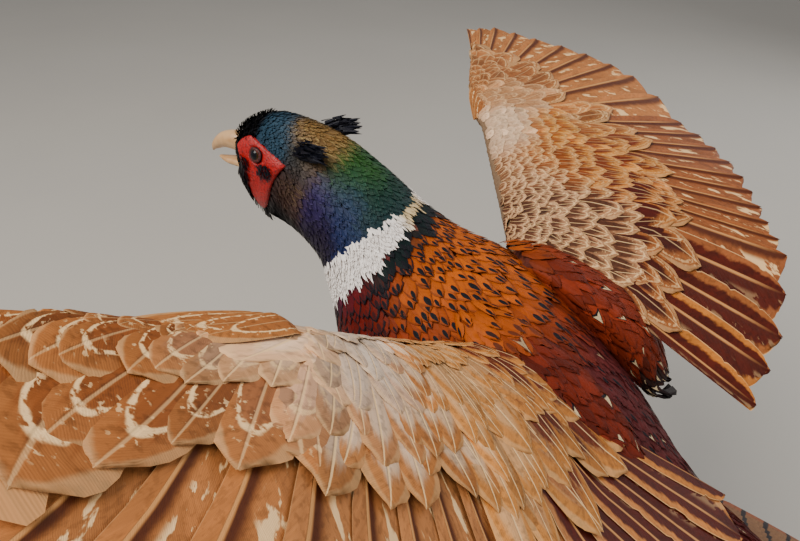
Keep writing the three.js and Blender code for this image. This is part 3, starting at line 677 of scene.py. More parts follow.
def bump(tree, height, distance, strength=1.0):
    """A normal that is tilted by a height; the distance is in metres."""
    node = tree.nodes.new("ShaderNodeBump")
    node.inputs["Distance"].default_value = distance
    node.inputs["Strength"].default_value = strength
    feed(tree, node.inputs["Height"], height)
    return Wire(tree, node.outputs[0])


def finish(name, **fixed):
    """An empty principled material; fixed values go on the shader's own sockets."""
    made = bpy.data.materials.new(name)
    made.use_nodes = True
    shader = made.node_tree.nodes["Principled BSDF"]
    for key, value in fixed.items():
        shader.inputs[key.replace("_", " ")].default_value = value
    return made, made.node_tree, shader


# %% The feather group
def feather_group():
    """Outputs: Along (0 root to 1 tip), Side (-1 to 1), Shaft, Edge, Barb and Worn masks, Chance (0 to 1 for
    each feather), Place (mm on the feather, for noise) and a barbed Normal."""
    group = bpy.data.node_groups.new("feather", "ShaderNodeTree")
    for name, low in (("Barb spacing", 0.7), ("Shaft width", 0.06)):
        group.interface.new_socket(name, in_out="INPUT", socket_type="NodeSocketFloat").default_value = low
    for name in ("Along", "Side", "Shaft", "Edge", "Barb", "Worn", "Chance"):
        group.interface.new_socket(name, in_out="OUTPUT", socket_type="NodeSocketFloat")
    group.interface.new_socket("Place", in_out="OUTPUT", socket_type="NodeSocketVector")
    group.interface.new_socket("Normal", in_out="OUTPUT", socket_type="NodeSocketVector")
    inside = group.nodes.new("NodeGroupInput")
    spacing, shaft_width = Wire(group, inside.outputs[0]), Wire(group, inside.outputs[1])
    uv = group.nodes.new("ShaderNodeUVMap")
    uv.uv_map = "Vane"
    across, along, _ = parts(group, Wire(group, uv.outputs[0]))
    side = across * 2.0 - 1.0
    mm_along, mm_across, chance = parts(group, attribute(group, "lie", "Vector"))
    place = joined(group, mm_along + chance * 190.0, mm_across, chance * 37.0)
    slant = mm_along - mm_across.size() * 1.15
    wobble = noise(group, place, 0.35, 2.0)
    barb = ((slant + wobble * 1.2) / spacing).wave(1.0)
    clump = noise(group, (slant * 0.55, mm_across * 0.08, chance * 50.0), 1.0, 3.0)
    shaft = (side.size() - shaft_width).step(0.05, -0.01) * along.step(1.0, 0.8)
    edge = side.size().step(0.62, 0.98)
    worn = clump * 0.85 + barb * 0.15
    height = barb * 0.16 + clump * 1.0 + shaft * 1.2
    out = group.nodes.new("NodeGroupOutput")
    answers = dict(Along=along, Side=side, Shaft=shaft, Edge=edge, Barb=barb, Worn=worn, Chance=chance,
                   Place=place, Normal=bump(group, height, 0.0004, 0.55))
    for name, value in answers.items():
        feed(group, out.inputs[name], value)
    return group


FEATHER = feather_group()


def feather_nodes(tree, spacing=0.7, shaft=0.06):
    """Places the feather group in a material and returns its outputs by name."""
    node = tree.nodes.new("ShaderNodeGroup")
    node.node_tree = FEATHER
    node.inputs["Barb spacing"].default_value = spacing
    node.inputs["Shaft width"].default_value = shaft
    return {out.name: Wire(tree, out) for out in node.outputs}


# %% Feather finishes
INK = (0.006, 0.006, 0.009)
IVORY = paint(252, 208, 150) * 1.15


def plumage(name, pattern, spacing=0.7, shaft=0.05, tone=(0.6, 1.3), **fixed):
    """A feather material. Its own tint is darkened towards the root as painted shade under the row in
    front, and streaked along the barbs, and `pattern` then lays marks over it with the strengths that each
    feather carries."""
    made, tree, shader = finish(name, **fixed)
    f = feather_nodes(tree, spacing, shaft)
    shade = f["Worn"] * (tone[1] - tone[0]) + tone[0]
    # painted shade: the colour darkens towards the root, where the overlapping row in front would shade it
    shade = shade * (f["Along"].step(-0.1, 0.5) * 0.25 + 0.75)
    colour = pattern(tree, f, scaled(tree, attribute(tree, "tint", "Color"), shade))
    feed(tree, shader.inputs["Base Color"], colour)
    feed(tree, shader.inputs["Normal"], f["Normal"])
    return made


def strengths(tree):
    """The three mark strengths that a feather carries."""
    return parts(tree, attribute(tree, "marks", "Vector"))


def rim_of(f, start=0.3):
    """0 in the middle of a feather and 1 on its outline: root(side^2 + end^2), where `end` runs from 0 to 1
    over the last part along."""
    end = (f["Along"] * (1 / (1 - start)) - start / (1 - start)).math("MAXIMUM", 0.0)
    return (f["Side"] * f["Side"] + end * end).math("SQRT")


def contour_marks(tree, f, colour):
    """Marks: a black drop at the tip, a dark rim, and a small cream chevron with a black border."""
    drop, rim, speck = strengths(tree)
    rough = noise(tree, f["Place"], 0.5, 3.0) - 0.5
    ahead = ((f["Along"] - 0.80) * 4.8).size()
    tip = ahead * 0.6 + ahead * ahead * 0.4 + f["Side"] * f["Side"] * 7.0 + rough * 0.6
    arrow = (f["Along"] - 0.80 + f["Side"].size() * 0.4).size() * 5.0 + f["Side"].size() * 1.3 + rough * 0.4
    return laid(tree, colour,
                (INK, tip.step(1.0, 0.8) * drop),
                (INK, (rim_of(f) + rough * 0.4).step(0.80, 1.0) * rim),
                (INK, arrow.step(1.0, 0.85) * speck),
                (CREAM, arrow.step(0.66, 0.52) * speck))


def gloss_marks(tree, f, colour):
    """Marks: a lighter edge of painted metallic sheen, and fine pale hairs along the shaft."""
    edge, hair, _ = strengths(tree)
    line = noise(tree, (f["Side"] * 2.3, f["Along"] * 0.4, f["Chance"] * 60.0), 2.0, 2.0)
    return laid(tree, colour,
                # painted sheen: the rim of each glossy feather is lightened 1.3 times
                (1.3, rim_of(f).step(0.3, 0.95) * edge),
                (paint(186, 160, 104), line.step(0.56, 0.66) * hair))


def covert_marks(tree, f, colour, line=0.6):
    """Marks: a cream U at `line` of the way to the edge, a pale shaft, and a middle of its own colour."""
    u_mark, shaft, middle = strengths(tree)
    rough = noise(tree, f["Place"], 0.3, 4.0) - 0.5
    streak = noise(tree, (f["Side"] * 4.0, f["Along"] * 0.8, f["Chance"] * 40.0), 1.6, 3.0)
    rim = rim_of(f, 0.4) + rough * 0.14
    core = scaled(tree, attribute(tree, "core", "Color"), streak * 0.9 + 0.6)
    fleck = noise(tree, f["Place"], 0.4, 4.0)
    broken = noise(tree, f["Place"], 0.6, 3.0)
    off_line = (rim - line).size()
    return laid(tree, colour,
                (core, (rim + (streak - 0.5) * 0.5).step(0.78, 0.5) * middle),
                (0.5, fleck.step(0.5, 0.66) * 0.6),
                (IVORY, broken.step(0.6, 0.66) * off_line.step(0.3, 0.1) * u_mark * 0.6),
                (IVORY, off_line.step(0.06, 0.02) * broken.step(0.36, 0.5) * u_mark * 0.9),
                (IVORY, rim.step(0.9, 1.0) * 0.25),
                (IVORY, f["Side"].size().step(0.055, 0.015) * shaft * 0.9))


def edged_marks(tree, f, colour):
    """Covert marks with the cream line out near the edge."""
    return covert_marks(tree, f, colour, 0.84)


def flight_marks(tree, f, colour):
    """Marks: cream blotches, the width of a middle of its own colour, and fine dark speckle. A dark band of
    painted shade runs beside the shaft on the inner vane, in the groove there, and the narrow outer vane is a
    little paler."""
    blotch, width, speckle = strengths(tree)
    mm_along, mm_across, chance = parts(tree, attribute(tree, "lie", "Vector"))
    slant = mm_along - mm_across.size() * 1.1
    rough = noise(tree, f["Place"], 0.16, 3.0) - 0.5

    def patch(along, across, shift, detail):
        return noise(tree, (slant * along, mm_across * across, chance * shift), 1.0, detail)

    streak = patch(0.30, 0.07, 70.0, 3.0)
    core = scaled(tree, attribute(tree, "core", "Color"), streak * 0.8 + 0.6)
    inside = (f["Side"].size() + rough * 0.4 + (streak - 0.5) * 0.3 - width).step(0.1, -0.1)
    cloud = patch(0.05, 0.05, 50.0, 2.0)
    fleck = noise(tree, f["Place"], 0.42, 3.0)
    island = patch(0.085, 0.11, 90.0, 5.0)
    small = patch(0.28, 0.3, 30.0, 4.0)
    light = island.step(0.55, 0.59).math("MAXIMUM", small.step(0.62, 0.66) * cloud.step(0.56, 0.46))
    # painted shade: a dark band in the groove on the inner vane beside the shaft
    band = f["Side"].step(-0.01, 0.03) * (f["Side"] + rough * 0.08).step(0.30, 0.13)
    return laid(tree, colour,
                (1.15, f["Side"].step(0.0, -0.5)),
                (core, inside * width.step(0.05, 0.2)),
                (0.72, cloud.step(0.42, 0.62) * 0.8),
                (0.6, fleck.step(0.5, 0.64) * speckle),
                (IVORY, light * f["Side"].step(0.25, 0.4) * blotch),
                # painted shade of the groove beside the shaft, in dark brown
                (paint(78, 34, 16), band * (0.9 - width)),
                (IVORY, f["Side"].size().step(0.93, 0.99) * (width * 0.7 + 0.15)),
                (paint(214, 150, 92), f["Shaft"]))


def tail_marks(tree, f, colour):
    """Marks: narrow black bars that slant back from the shaft, and a coppery edge."""
    bars, copper, _ = strengths(tree)
    mm_along, mm_across, _ = parts(tree, attribute(tree, "lie", "Vector"))
    warp = noise(tree, f["Place"], 0.12, 2.0) * 5.0
    bar = ((mm_along - mm_across.size() * 0.7 + warp) / 21.0).wave(1.0)
    freckle = noise(tree, f["Place"], 0.6, 3.0).step(0.5, 0.7) * 0.35
    return laid(tree, colour,
                (paint(150, 78, 48), f["Side"].size().step(0.5, 0.9) * copper),
                (paint(60, 44, 30), freckle),
                (INK, bar.step(0.86, 0.95) * bars),
                (paint(120, 96, 62), f["Shaft"]))


CONTOUR = plumage("contour feathers", contour_marks, Roughness=0.55, Specular_IOR_Level=0.12)
GLOSSY = plumage("glossy neck feathers", gloss_marks, 0.5, 0.03, (0.85, 1.1), Metallic=0.2, Roughness=0.5,
                 Specular_IOR_Level=0.3)
BRISTLE = plumage("bristly feathers", gloss_marks, 0.4, 0.2, (0.85, 1.15), Roughness=0.7,
                  Specular_IOR_Level=0.2)
COVERT, EDGED = (plumage(f"{which} wing coverts", marks, 0.8, 0.03, (0.65, 1.3), Roughness=0.6,
                         Specular_IOR_Level=0.15)
                 for which, marks in (("near", covert_marks), ("far", edged_marks)))
FLIGHT = plumage("flight feathers", flight_marks, 0.7, 0.03, (0.7, 1.25), Roughness=0.55,
                 Specular_IOR_Level=0.15)
TAIL = plumage("tail feathers", tail_marks, 0.9, 0.035, Roughness=0.55, Specular_IOR_Level=0.2)
print("seven feather finishes")

# %% Bare parts, wood and metal
def plain_finish(name, base, second, scale, share=(0.4, 0.65), grain=0.0004, stretch=(1, 1, 1), **fixed):
    """Two colours mixed by noise on object coordinates in mm, which also lifts the surface a little."""
    made, tree, shader = finish(name, **fixed)
    where = tree.nodes.new("ShaderNodeTexCoord")
    mapping = tree.nodes.new("ShaderNodeMapping")
    mapping.inputs["Scale"].default_value = [1000 * k for k in stretch]
    tree.links.new(where.outputs["Object"], mapping.inputs["Vector"])
    spot = noise(tree, Wire(tree, mapping.outputs[0]), scale, 5.0)
    feed(tree, shader.inputs["Base Color"], mix(tree, base, second, spot.step(*share)))
    feed(tree, shader.inputs["Normal"], bump(tree, spot, grain))
    return made


HORN = plain_finish("horn of the bill", paint(224, 178, 128), paint(190, 138, 90), 0.12, (0.3, 0.8),
                    Roughness=0.34, Coat_Weight=0.3)
CLAW = plain_finish("claw horn", paint(70, 60, 50), paint(34, 30, 28), 0.3, Roughness=0.35)
LEG = plain_finish("leg scales", paint(142, 134, 118), paint(96, 90, 80), 0.5, Roughness=0.5)
WATTLE = plain_finish("wattle skin", paint(186, 20, 22), paint(96, 8, 12), 0.8, (0.46, 0.74), 0.0006,
                      Roughness=0.5, Subsurface_Weight=0.15, Subsurface_Scale=0.002)
LID = plain_finish("eyelid skin", paint(96, 30, 26), paint(44, 22, 22), 1.1, Roughness=0.6)
WOOD = plain_finish("dark walnut", paint(104, 66, 42), paint(62, 38, 24), 0.09, grain=0.0002,
                    stretch=(1, 0.08, 1), Roughness=0.38, Coat_Weight=0.35, Coat_Roughness=0.2)
STEEL = plain_finish("brushed steel", paint(176, 176, 178), paint(150, 150, 154), 0.8, grain=0.00005,
                     stretch=(1, 1, 0.06), Metallic=1.0, Roughness=0.35)


def eye_finish():
    """Iris and pupil by the angle from the eye's axis, which each point carries as `gaze` from 0 to 1."""
    made, tree, shader = finish("eye glass", Roughness=0.08, Specular_IOR_Level=0.2)
    gaze = attribute(tree, "gaze")
    streak = noise(tree, (attribute(tree, "round") * 6.0, gaze * 3.0), 9.0, 4.0)
    iris = mix(tree, paint(84, 60, 22), paint(32, 22, 10), streak)
    rim = mix(tree, iris, INK, gaze.step(0.86, 0.97))
    feed(tree, shader.inputs["Base Color"], mix(tree, INK, rim, gaze.step(0.58, 0.66)))
    return made


EYE = eye_finish()

# %% [markdown]
# ## Skin under the coat
# Gaps between feathers must show skin of the right colour, darkened as painted shade, and never a hole.
# Closed lofts of the body, the shoulder pads, the thighs and the wing arms are joined, and a voxel remesh
# melts them into one skin. Each point of the skin then takes its colour from the nearest point of the lofts.

# %% Skin
SKIN_CELL = 0.0024
WING_SKIN = paint(196, 156, 118)


def loft(surface, first, last, rows, ring, inset):
    """Closed grid: rows from first to last, a ring of columns, moved in along the normal by inset mm; the
    two ends close in a point each."""
    columns = len(ring)
    s = np.repeat(np.linspace(first, last, rows + 1), columns)
    a = np.tile(ring, rows + 1)
    ends = (s == s[0]) | (s == s[-1])
    points = surface(s, a) - frame_of(surface, s, a)[2] * (inset * ~ends)[:, None]
    middle = points.reshape(rows + 1, columns, 3)[[0, -1]].mean(1)
    return *capped(points, middle, columns), (s, a)


def wing_section(wing, inset):
    """A closed loft of the feathered arm and hand: forward along the upper side, back along the lower."""
    rows, columns = 60, 24
    at = np.repeat(np.linspace(-0.2, wing["last"] - 0.2, rows + 1), columns)
    turn = np.tile(np.linspace(0, 2, columns, endpoint=False), rows + 1)
    part = covert_reach(at) * np.where(turn < 1, 1 - turn, turn - 1) ** 1.5
    upper = wing_face(wing, at, part) - fan_normal(wing, at) * inset
    lower = wing_face(wing, at, part, under=True) + fan_normal(wing, at) * inset * 0.5
    points = np.where((turn < 1)[:, None], upper, lower)
    return capped(points, points.reshape(rows + 1, columns, 3)[[0, -1]].mean(1), columns)


def skin_shells():
    """Points, faces and colours of each loft."""
    ring = np.linspace(-np.pi, np.pi, 48, endpoint=False)
    points, faces, (s, a) = loft(body, 0.05, 17.6, 120, ring, 3.2)
    yield points, faces, np.concatenate([region_colour(s, a), [RUST, NIGHT]])
    for name, wing in SPREAD.items():
        lofts = ((loft(pad(name), 0.12, 0.94, 24, ring[::2], 2.5)[:2], RUST),
                 (loft(thigh(wing["side"]), 0.02, 0.98, 20, ring[::2], 2.0)[:2], UMBER),
                 (wing_section(wing, 1.6), WING_SKIN))
        for (points, faces), colour in lofts:
            yield points, faces, np.tile(colour, (len(points), 1))


def make_skin():
    """Joins the lofts, remeshes them with cells of SKIN_CELL metres and colours the result at half light."""
    shells = list(skin_shells())
    points, colours = (np.concatenate([shell[k] for shell in shells]) for k in (0, 2))
    starts = np.cumsum([0] + [len(shell[0]) for shell in shells]).tolist()
    faces = [[i + start for i in face] for shell, start in zip(shells, starts) for face in shell[1]]
    draft = piece("skin_draft", points, faces, LID, "body_feathers")
    remesh = draft.modifiers.new("melt", "REMESH")
    remesh.mode, remesh.voxel_size = "VOXEL", SKIN_CELL
    evaluated = draft.evaluated_get(bpy.context.evaluated_depsgraph_get())
    mesh = bpy.data.meshes.new_from_object(evaluated)
    melted = np.empty(len(mesh.vertices) * 3)
    mesh.vertices.foreach_get("co", melted)
    melted = melted.reshape(-1, 3) / MM - BIRD
    bpy.data.objects.remove(draft)
    near = np.concatenate([np.argmin(((chunk[:, None] - points[None]) ** 2).sum(-1), 1)
                           for chunk in np.array_split(melted, max(1, len(melted) // 400))])
    # painted shade: the skin takes its region colour at half brightness, as in the gaps between feathers
    tint = np.concatenate([colours[near] * 0.5, np.ones((len(near), 1))], 1)
    covered = ["trunk", "rump", "neck", "head"]
    covered += [f"{part}_{name}" for name in SPREAD for part in ("scapulars", "thigh")]
    covered += [f"wing_{name}_{part}" for name in SPREAD for part in ("arm", "hand")]
    faces = [list(face.vertices) for face in mesh.polygons]
    return piece("skin", melted, faces, SKIN, "body_feathers", covered, values={"tint": tint})


def skin_finish():
    """The region colours, darkened as painted shade in the gaps, with fine streaks so that gaps look like
    down between feathers.
    """
    made, tree, shader = finish("skin and down", Roughness=0.85)
    where = tree.nodes.new("ShaderNodeTexCoord")
    streak = noise(tree, Wire(tree, where.outputs["Object"]), 900.0, 4.0)
    colour = scaled(tree, attribute(tree, "tint", "Color"), streak * 1.2 + 0.3)
    feed(tree, shader.inputs["Base Color"], colour)
    feed(tree, shader.inputs["Normal"], bump(tree, streak, 0.0008))
    return made


SKIN = skin_finish()
make_skin()

# %% [markdown]
# ## Body coat
# The contour feathers run from the collar to the tail. On the mantle they are short, stiff and tipped with
# black; over the rump they are long, loose and hair-like; on the breast each has a dark rim.

# %% Mantle, breast, back and rump
def body_marks(s, a, rng):
    """Black drops on the mantle and on a third of the back, rims on breast, nape and mantle, and a chevron
    on one feather in fourteen of the back."""
    turn = wrap(a)
    mantle = smooth(s, 5.8, 6.3) * smooth(turn, 92, 62)
    breast = smooth(turn, 60, 85) * smooth(s, 5.5, 6.5) * smooth(turn, 175, 150)
    back = smooth(s, 6.3, 5.8) * smooth(s, 2.0, 3.0) * smooth(turn, 75, 45)
    chance = rng.random(len(s))
    return np.stack([np.maximum(mantle, back * (chance < 0.35)),
                     0.9 * breast + 0.6 * smooth(s, 8.2, 8.9) * (turn < 80) + 0.4 * mantle,
                     smooth(s, 5.9, 5.2) * (chance > 0.93) * (turn < 80)], -1)


def coat_of(surface, s, a, unwrap, keep, way, length, width, rise, seed, turn=0.12, **shape):
    """Feathers at the kept roots, each a little different in size and direction."""
    s, a = s[keep], a[keep]
    rng = np.random.default_rng(seed)
    size = 1 + 0.12 * rng.normal(size=len(s))
    length, width = (x(s) if callable(x) else x for x in (length, width))
    coat = feathers(surface, s, a, way, length * size, width * size, rise, seed=seed,
                    splay=turn * rng.normal(size=len(s)), **shape)
    return coat, (unwrap[0][keep], unwrap[1][keep], unwrap[2], unwrap[3])


def body_coat(name, start, end, spacing, gap, length, width, rise, seed, slot, **shape):
    """One zone of the body coat, from station start back to station end."""
    s, a, unwrap = rows_of_roots(start, end, spacing, gap, seed=seed)
    coat, bake = coat_of(body, s, a, unwrap, ~collar(s, a), (-1.0, 0.0), length, width, rise, seed, **shape)
    s, a = coat["s"], coat["a"]
    ruff = (smooth(s, 8.75, 9.0) * smooth(wrap(a), 85, 55))[:, None]
    tint = region_colour(s, a) * (1 - ruff) + paint(18, 34, 34) * ruff
    marks = body_marks(s, a, np.random.default_rng(seed))
    return coat_piece(name, dress(coat, tint, marks, bake), CONTOUR, slot)


def shrinking(low, high):
    """A measure in mm that goes from low at the shoulders to high at the collar."""
    return lambda s: np.interp(s, [6.2, 9.2], [low, high])


body_coat("coat_mantle", 9.6, 6.1, shrinking(9.2, 4.6), shrinking(8.6, 5.0), shrinking(20, 11),
          shrinking(12.0, 7.5), 1.3, 11, "body_feathers", grid=(9, 6), tip=2.3)
body_coat("coat_back", 6.3, 3.6, 6.4, 5.6, 23, 8.0, 1.6, 12, "body_feathers", grid=(9, 4), tip=2.0,
          ragged=0.3)
body_coat("coat_rump", 3.8, 0.25, 6.5, 5.0, 30, 6.5, 2.2, 13, "rump_feathers", grid=(9, 4), tip=1.8,
          ragged=0.4)

# %% [markdown]
# ## Neck and head
# The neck's feathers are small, round and metallic. They shrink towards the bill, until they are little
# more than velvet. The white collar is bristly, so it is made of narrow strands.

# %% Neck, head and collar
def section(s, a):
    """Forward, left and up of a body point before the head's turn is put on."""
    p = body(s, a) - [0, MANTLE_Y, 0]
    turn = HEAD_TURN * smooth(-p[..., 1] / 45 + 0.3)
    forward = np.sin(turn) * p[..., 0] - np.cos(turn) * p[..., 1]
    left = np.cos(turn) * p[..., 0] + np.sin(turn) * p[..., 1]
    return np.stack([forward, left, p[..., 2]], -1)


WATTLE_OUTLINE = ((150, 73), ((145, 80), (139, 81)), ((128, 77), (113, 71)), ((121, 64), (125, 52)),
                  ((131, 34), (139, 30)), ((145, 37), (146, 52)), ((147, 66), (150, 73)))

WATTLE_MIDDLE = np.array([134.0, 58.0])   # forward, up


def quadratic(start, *bends, steps=12):
    """Outline of joined quadratic curves: (1-t)^2 p + 2 t (1-t) control + t^2 q."""
    t = np.linspace(0, 1, steps, endpoint=False)[:, None]
    made, p = [], np.array(start, float)
    for control, q in bends:
        control, q = np.array(control, float), np.array(q, float)
        made.append((1 - t) ** 2 * p + 2 * t * (1 - t) * control + t ** 2 * q)
        p = q
    return np.concatenate(made)


def bare(s, a):
    """True inside the wattle's outline on either cheek, by its reach at the same angle from its middle."""
    place = section(s, a)[..., [0, 2]] - WATTLE_MIDDLE
    edge = quadratic(*WATTLE_OUTLINE) - WATTLE_MIDDLE
    angle = np.arctan2(edge[:, 1], edge[:, 0])
    order = np.argsort(angle)
    reach = np.interp(np.arctan2(place[..., 1], place[..., 0]), angle[order],
                      np.linalg.norm(edge, axis=1)[order], period=2 * np.pi)
    return (np.linalg.norm(place, axis=-1) < reach - 0.8) & (wrap(a) > 20)


def dark_face(s, a):
    """Small grey-black feathers on the bare skin: a patch below the eye and a strip before the cheek."""
    f, _, z = np.moveaxis(section(s, a), -1, 0)
    patch = ((f - 128.5) / 5.5) ** 2 + ((z - 64.5) / 4.0) ** 2 < 1
    strip = (f > 141.5 - 0.1 * (z - 60)) & (z < 68) & (z > 40)
    return patch | strip


def head_coat(name, start, end, spacing, gap, length, width, rise, seed, slot, where=None, tint=None,
              **shape):
    """Metallic feathers from station start back to end, wherever neither the collar nor bare skin is."""
    s, a, unwrap = rows_of_roots(start, end, spacing, gap, seed=seed)
    keep = (~collar(s, a) & ~bare(s, a)) if where is None else where(s, a)
    coat, bake = coat_of(body, s, a, unwrap, keep, (-1.0, 0.0), length, width, rise, seed, **shape)
    s, a = coat["s"], coat["a"]
    crown = smooth(wrap(a), 45, 20) * smooth(s, 11.6, 12.4) * smooth(s, 14.6, 13.8)
    cheek = np.exp(-((s - 13.1) / 0.5) ** 2 - ((wrap(a) - 84) / 16) ** 2)
    dress(coat, region_colour(s, a) if tint is None else tint,
          np.stack([0.5 + 0 * s, 0.9 * np.maximum(crown, 0.5 * cheek), 0 * s], -1), bake, vary=0.12)
    return coat_piece(name, coat, GLOSSY, slot)


head_coat("coat_neck", 13.0, 9.2, 2.5, 2.6, 8.5, 4.4, 0.4, 21, "neck_feathers", grid=(4, 4), tip=2.6,
          turn=0.15, arch=0.04)
head_coat("coat_head", 17.8, 12.9, 1.8, 1.8, 5, 2.5, 0.3, 22, "head_feathers", grid=(4, 2), tip=2.4,
          turn=0.15, arch=0.04)
head_coat("coat_lores", 17.0, 13.0, 1.3, 1.3, 3.6, 1.6, 3.2, 23, "head_feathers",
          where=lambda s, a: dark_face(s, a) & bare(s, a), tint=paint(34, 34, 42), grid=(4, 2), tip=1.8,
          turn=0.4, sink=-1.2)
head_coat("coat_forehead", 17.8, 15.3, 1.5, 1.6, 4.2, 1.2, 2.0, 24, "head_feathers",
          where=lambda s, a: (wrap(a) < 48) & (s > 15.6) | (wrap(a) > 135) & (s > 14.6) & (s < 16.8),
          tint=SOOT, grid=(4, 2), tip=1.6, turn=0.5)


def collar_coat():
    """Strands on the collar band only, white below and cream and thinner on the nape."""
    s, a, unwrap = rows_of_roots(10.9, 9.1, 1.4, 1.5, seed=31)
    chance = np.random.default_rng(31).random(len(s))
    keep = collar(s, a) & ((wrap(a) > 16) | (chance < 0.55))
    coat, bake = coat_of(body, s, a, unwrap, keep, (-1.0, 0.0), 7.5, 2.2, 1.3, 31, turn=0.22,
                         grid=(5, 2), tip=2.2, ragged=0.2)
    nape = smooth(wrap(coat["a"]), 28, 10)[:, None]
    white = 1.25 * paint(248, 240, 234) * (1 - nape) + paint(226, 198, 150) * nape
    dress(coat, white, (0.0, 0, 0), bake, vary=0.06)
    return coat_piece("coat_collar", coat, BRISTLE, "neck_feathers")


collar_coat()

# %% [markdown]
# ## Shoulder pads and thighs
# The scapulars are the rust-brown feathers that bridge the gap between back and wing. They lie on the pad
# surfaces, whose first parameter runs backwards, so these feathers point along plus t.

# %% Scapulars and thigh coats
def thigh_coat(side_name, side):
    """Feathers from hip to ankle, between umber and soot, each with a dark rim."""
    s, a, unwrap = rows_of_roots(0.02, 0.95, 5, 5.5, surface=thigh(side), seed=43)
    coat = feathers(thigh(side), s, a, (1.0, 0.0), 15, 6.5, 1.6, (6, 4), tip=2.2, seed=43, ragged=0.3)
    share = np.random.default_rng(43).random((len(s), 1))
    dress(coat, UMBER * share + SOOT * (1 - share), (0.0, 0.6, 0.0), unwrap)
    coat_piece(f"coat_thigh_{side_name}", coat, CONTOUR, "thigh_feathers")


def pad_coat(side_name, front, rust, dark_end):
    """A scapular coat that has the mantle's copper and black drops ahead of t = front, then turns rust, with
    a few cream arrows. Where dark_end is 1 it ends in dark feathers with more arrows."""
    s, a, unwrap = rows_of_roots(0.0, 0.93, 6.5, 6.5, surface=pad(side_name), seed=41)
    coat, bake = coat_of(pad(side_name), s, a, unwrap, np.full(len(s), True), (1.0, 0.0),
                         lambda s: 10 + 12 * smooth(s, 0, 0.2), lambda s: 4 + 5.5 * smooth(s, 0, 0.2), 1.4,
                         41, grid=(8, 6), tip=2.6, ragged=0.25)
    s = coat["s"]
    chance = np.random.default_rng(41).random(len(s))
    mantle = smooth(s, front + 0.12, front - 0.08)
    end = dark_end * smooth(s, 0.76, 0.84)[:, None]
    tint = COPPER * mantle[:, None] + rust * (1 - mantle[:, None])
    tint = tint * (1 - 0.45 * chance[:, None] * (1 - mantle[:, None])) * (1 - end) + UMBER * 0.6 * end
    speck = (chance < 0.12) | (chance < 0.45 * dark_end) & (s > 0.78)
    marks = np.stack([mantle, 0.12 + 0.5 * end[:, 0], (1 - mantle) * speck], -1)
    return coat_piece(f"coat_scapulars_{side_name}", dress(coat, tint, marks, bake), CONTOUR, "body_feathers")


pad_coat("left", 0.16, paint(124, 46, 28), 0.0)
pad_coat("right", 0.06, paint(146, 56, 32), 1.0)
both_sides(thigh_coat)

# %% [markdown]
# ## Flight feathers
# Each primary and secondary is one large vane with a stiff shaft near its leading edge. From above, every
# feather lies over the inner vane of the next one outwards. The grid is worked out on the fan's own
# surface, so that a feather bows and fans exactly as its neighbours do.

# %% Flight feather vanes
STATION_GAP = 19.0                    # mm from one flight feather to the next, in the maps


def vane(wing, stations, outer, inner, seed, rows=56, columns=14, tip=18.0, start=0.12):
    """A feather at each station k. A point's station is k - outer o(u) w to k + inner o(u) w, where w is the
    gap to the neighbours. o(u) closes as root(1 - u^p), with p of 0.6 tip outside the shaft and 1.6 tip
    inside it. Each vane tilts so that its outer edge lies on
    its neighbour; the shaft stands up as a ridge with a groove beside it."""
    rng = np.random.default_rng(seed)
    k = np.asarray(stations, float)
    n = len(k)
    gap = np.gradient(k)[:, None, None] if n > 1 else np.ones((1, 1, 1))
    k = k[:, None, None]
    u, v = unit_grid(rows, columns)
    v = np.sign(v) * np.abs(v) ** 1.3
    u = 1 - (1 - u) ** 1.7
    close = np.sqrt(np.clip(1 - u ** np.where(v < 0, 0.6 * tip, 1.6 * tip), 0, 1))
    close = close * (0.75 + 0.25 * smooth(u, 0, 0.5))
    close = np.maximum(close, 0.03)
    tear = np.ones((n, rows + 1, 2))
    tear[rng.random((n, rows + 1, 2)) < 0.06] = 0.88
    reach = np.where(v < 0, outer * v * tear[..., :1], inner * v * tear[..., 1:]) * close * gap
    part = start + (1 - start) * u * (1 - 0.012 * v ** 2) + 0 * v
    part = part + rng.normal(0, 0.003, (n, 1, columns + 1)) * u
    tilt = -0.6 * v - 0.4 * v ** 2 + 0.5 * np.exp(-(v / 0.1) ** 2) - 0.5 * np.exp(-((v - 0.2) / 0.12) ** 2)
    at = np.clip(k + reach, -0.5, wing["last"] + 0.5)
    over = tilt - 0.1 - 1.0 * smooth(part, 0.22, 0.13) + rng.normal(0, 0.15, (n, 1, 1))
    points = wing_face(wing, at, part) + fan_normal(wing, at) * over[..., None]
    ahead = part * flight(wing, k)[1]
    return vanes(points, ahead, reach * STATION_GAP, u, v, rng.random((n, 1, 1)))


def strip_patches(feather, first=0, total=None):
    """Bake patches side by side: each big feather gets its own full-height strip."""
    n = feather["count"]
    total = total or n
    k = (np.arange(n) + first)[:, None, None]
    x = (k + 0.04 + 0.92 * feather["vane"][..., 0]) / total
    return np.stack([x, 0.02 + 0.96 * np.broadcast_to(feather["vane"][..., 1], x.shape)], -1)


def flight_piece(name, wing_name, stations, palette, marks, nodes, seed, outer=0.3, inner=1.1, **shape):
    """One group of flight feathers as a piece, which replaces the plain fan nodes. The palette is the
    colour at the first station, at the last one, and of the middles."""
    feather = vane(SPREAD[wing_name], stations, outer, inner, seed, **shape)
    n = feather["count"]
    share = np.linspace(0, 1, n) + np.random.default_rng(seed).normal(0, 0.15, n)
    share = np.clip(share, 0, 1)[:, None, None, None]
    tint = palette[0] * (1 - share) + palette[1] * share
    coloured(feather, tint, palette[2], marks, strip_patches(feather))
    return coat_piece(name, feather, FLIGHT, "flight_feathers", nodes)


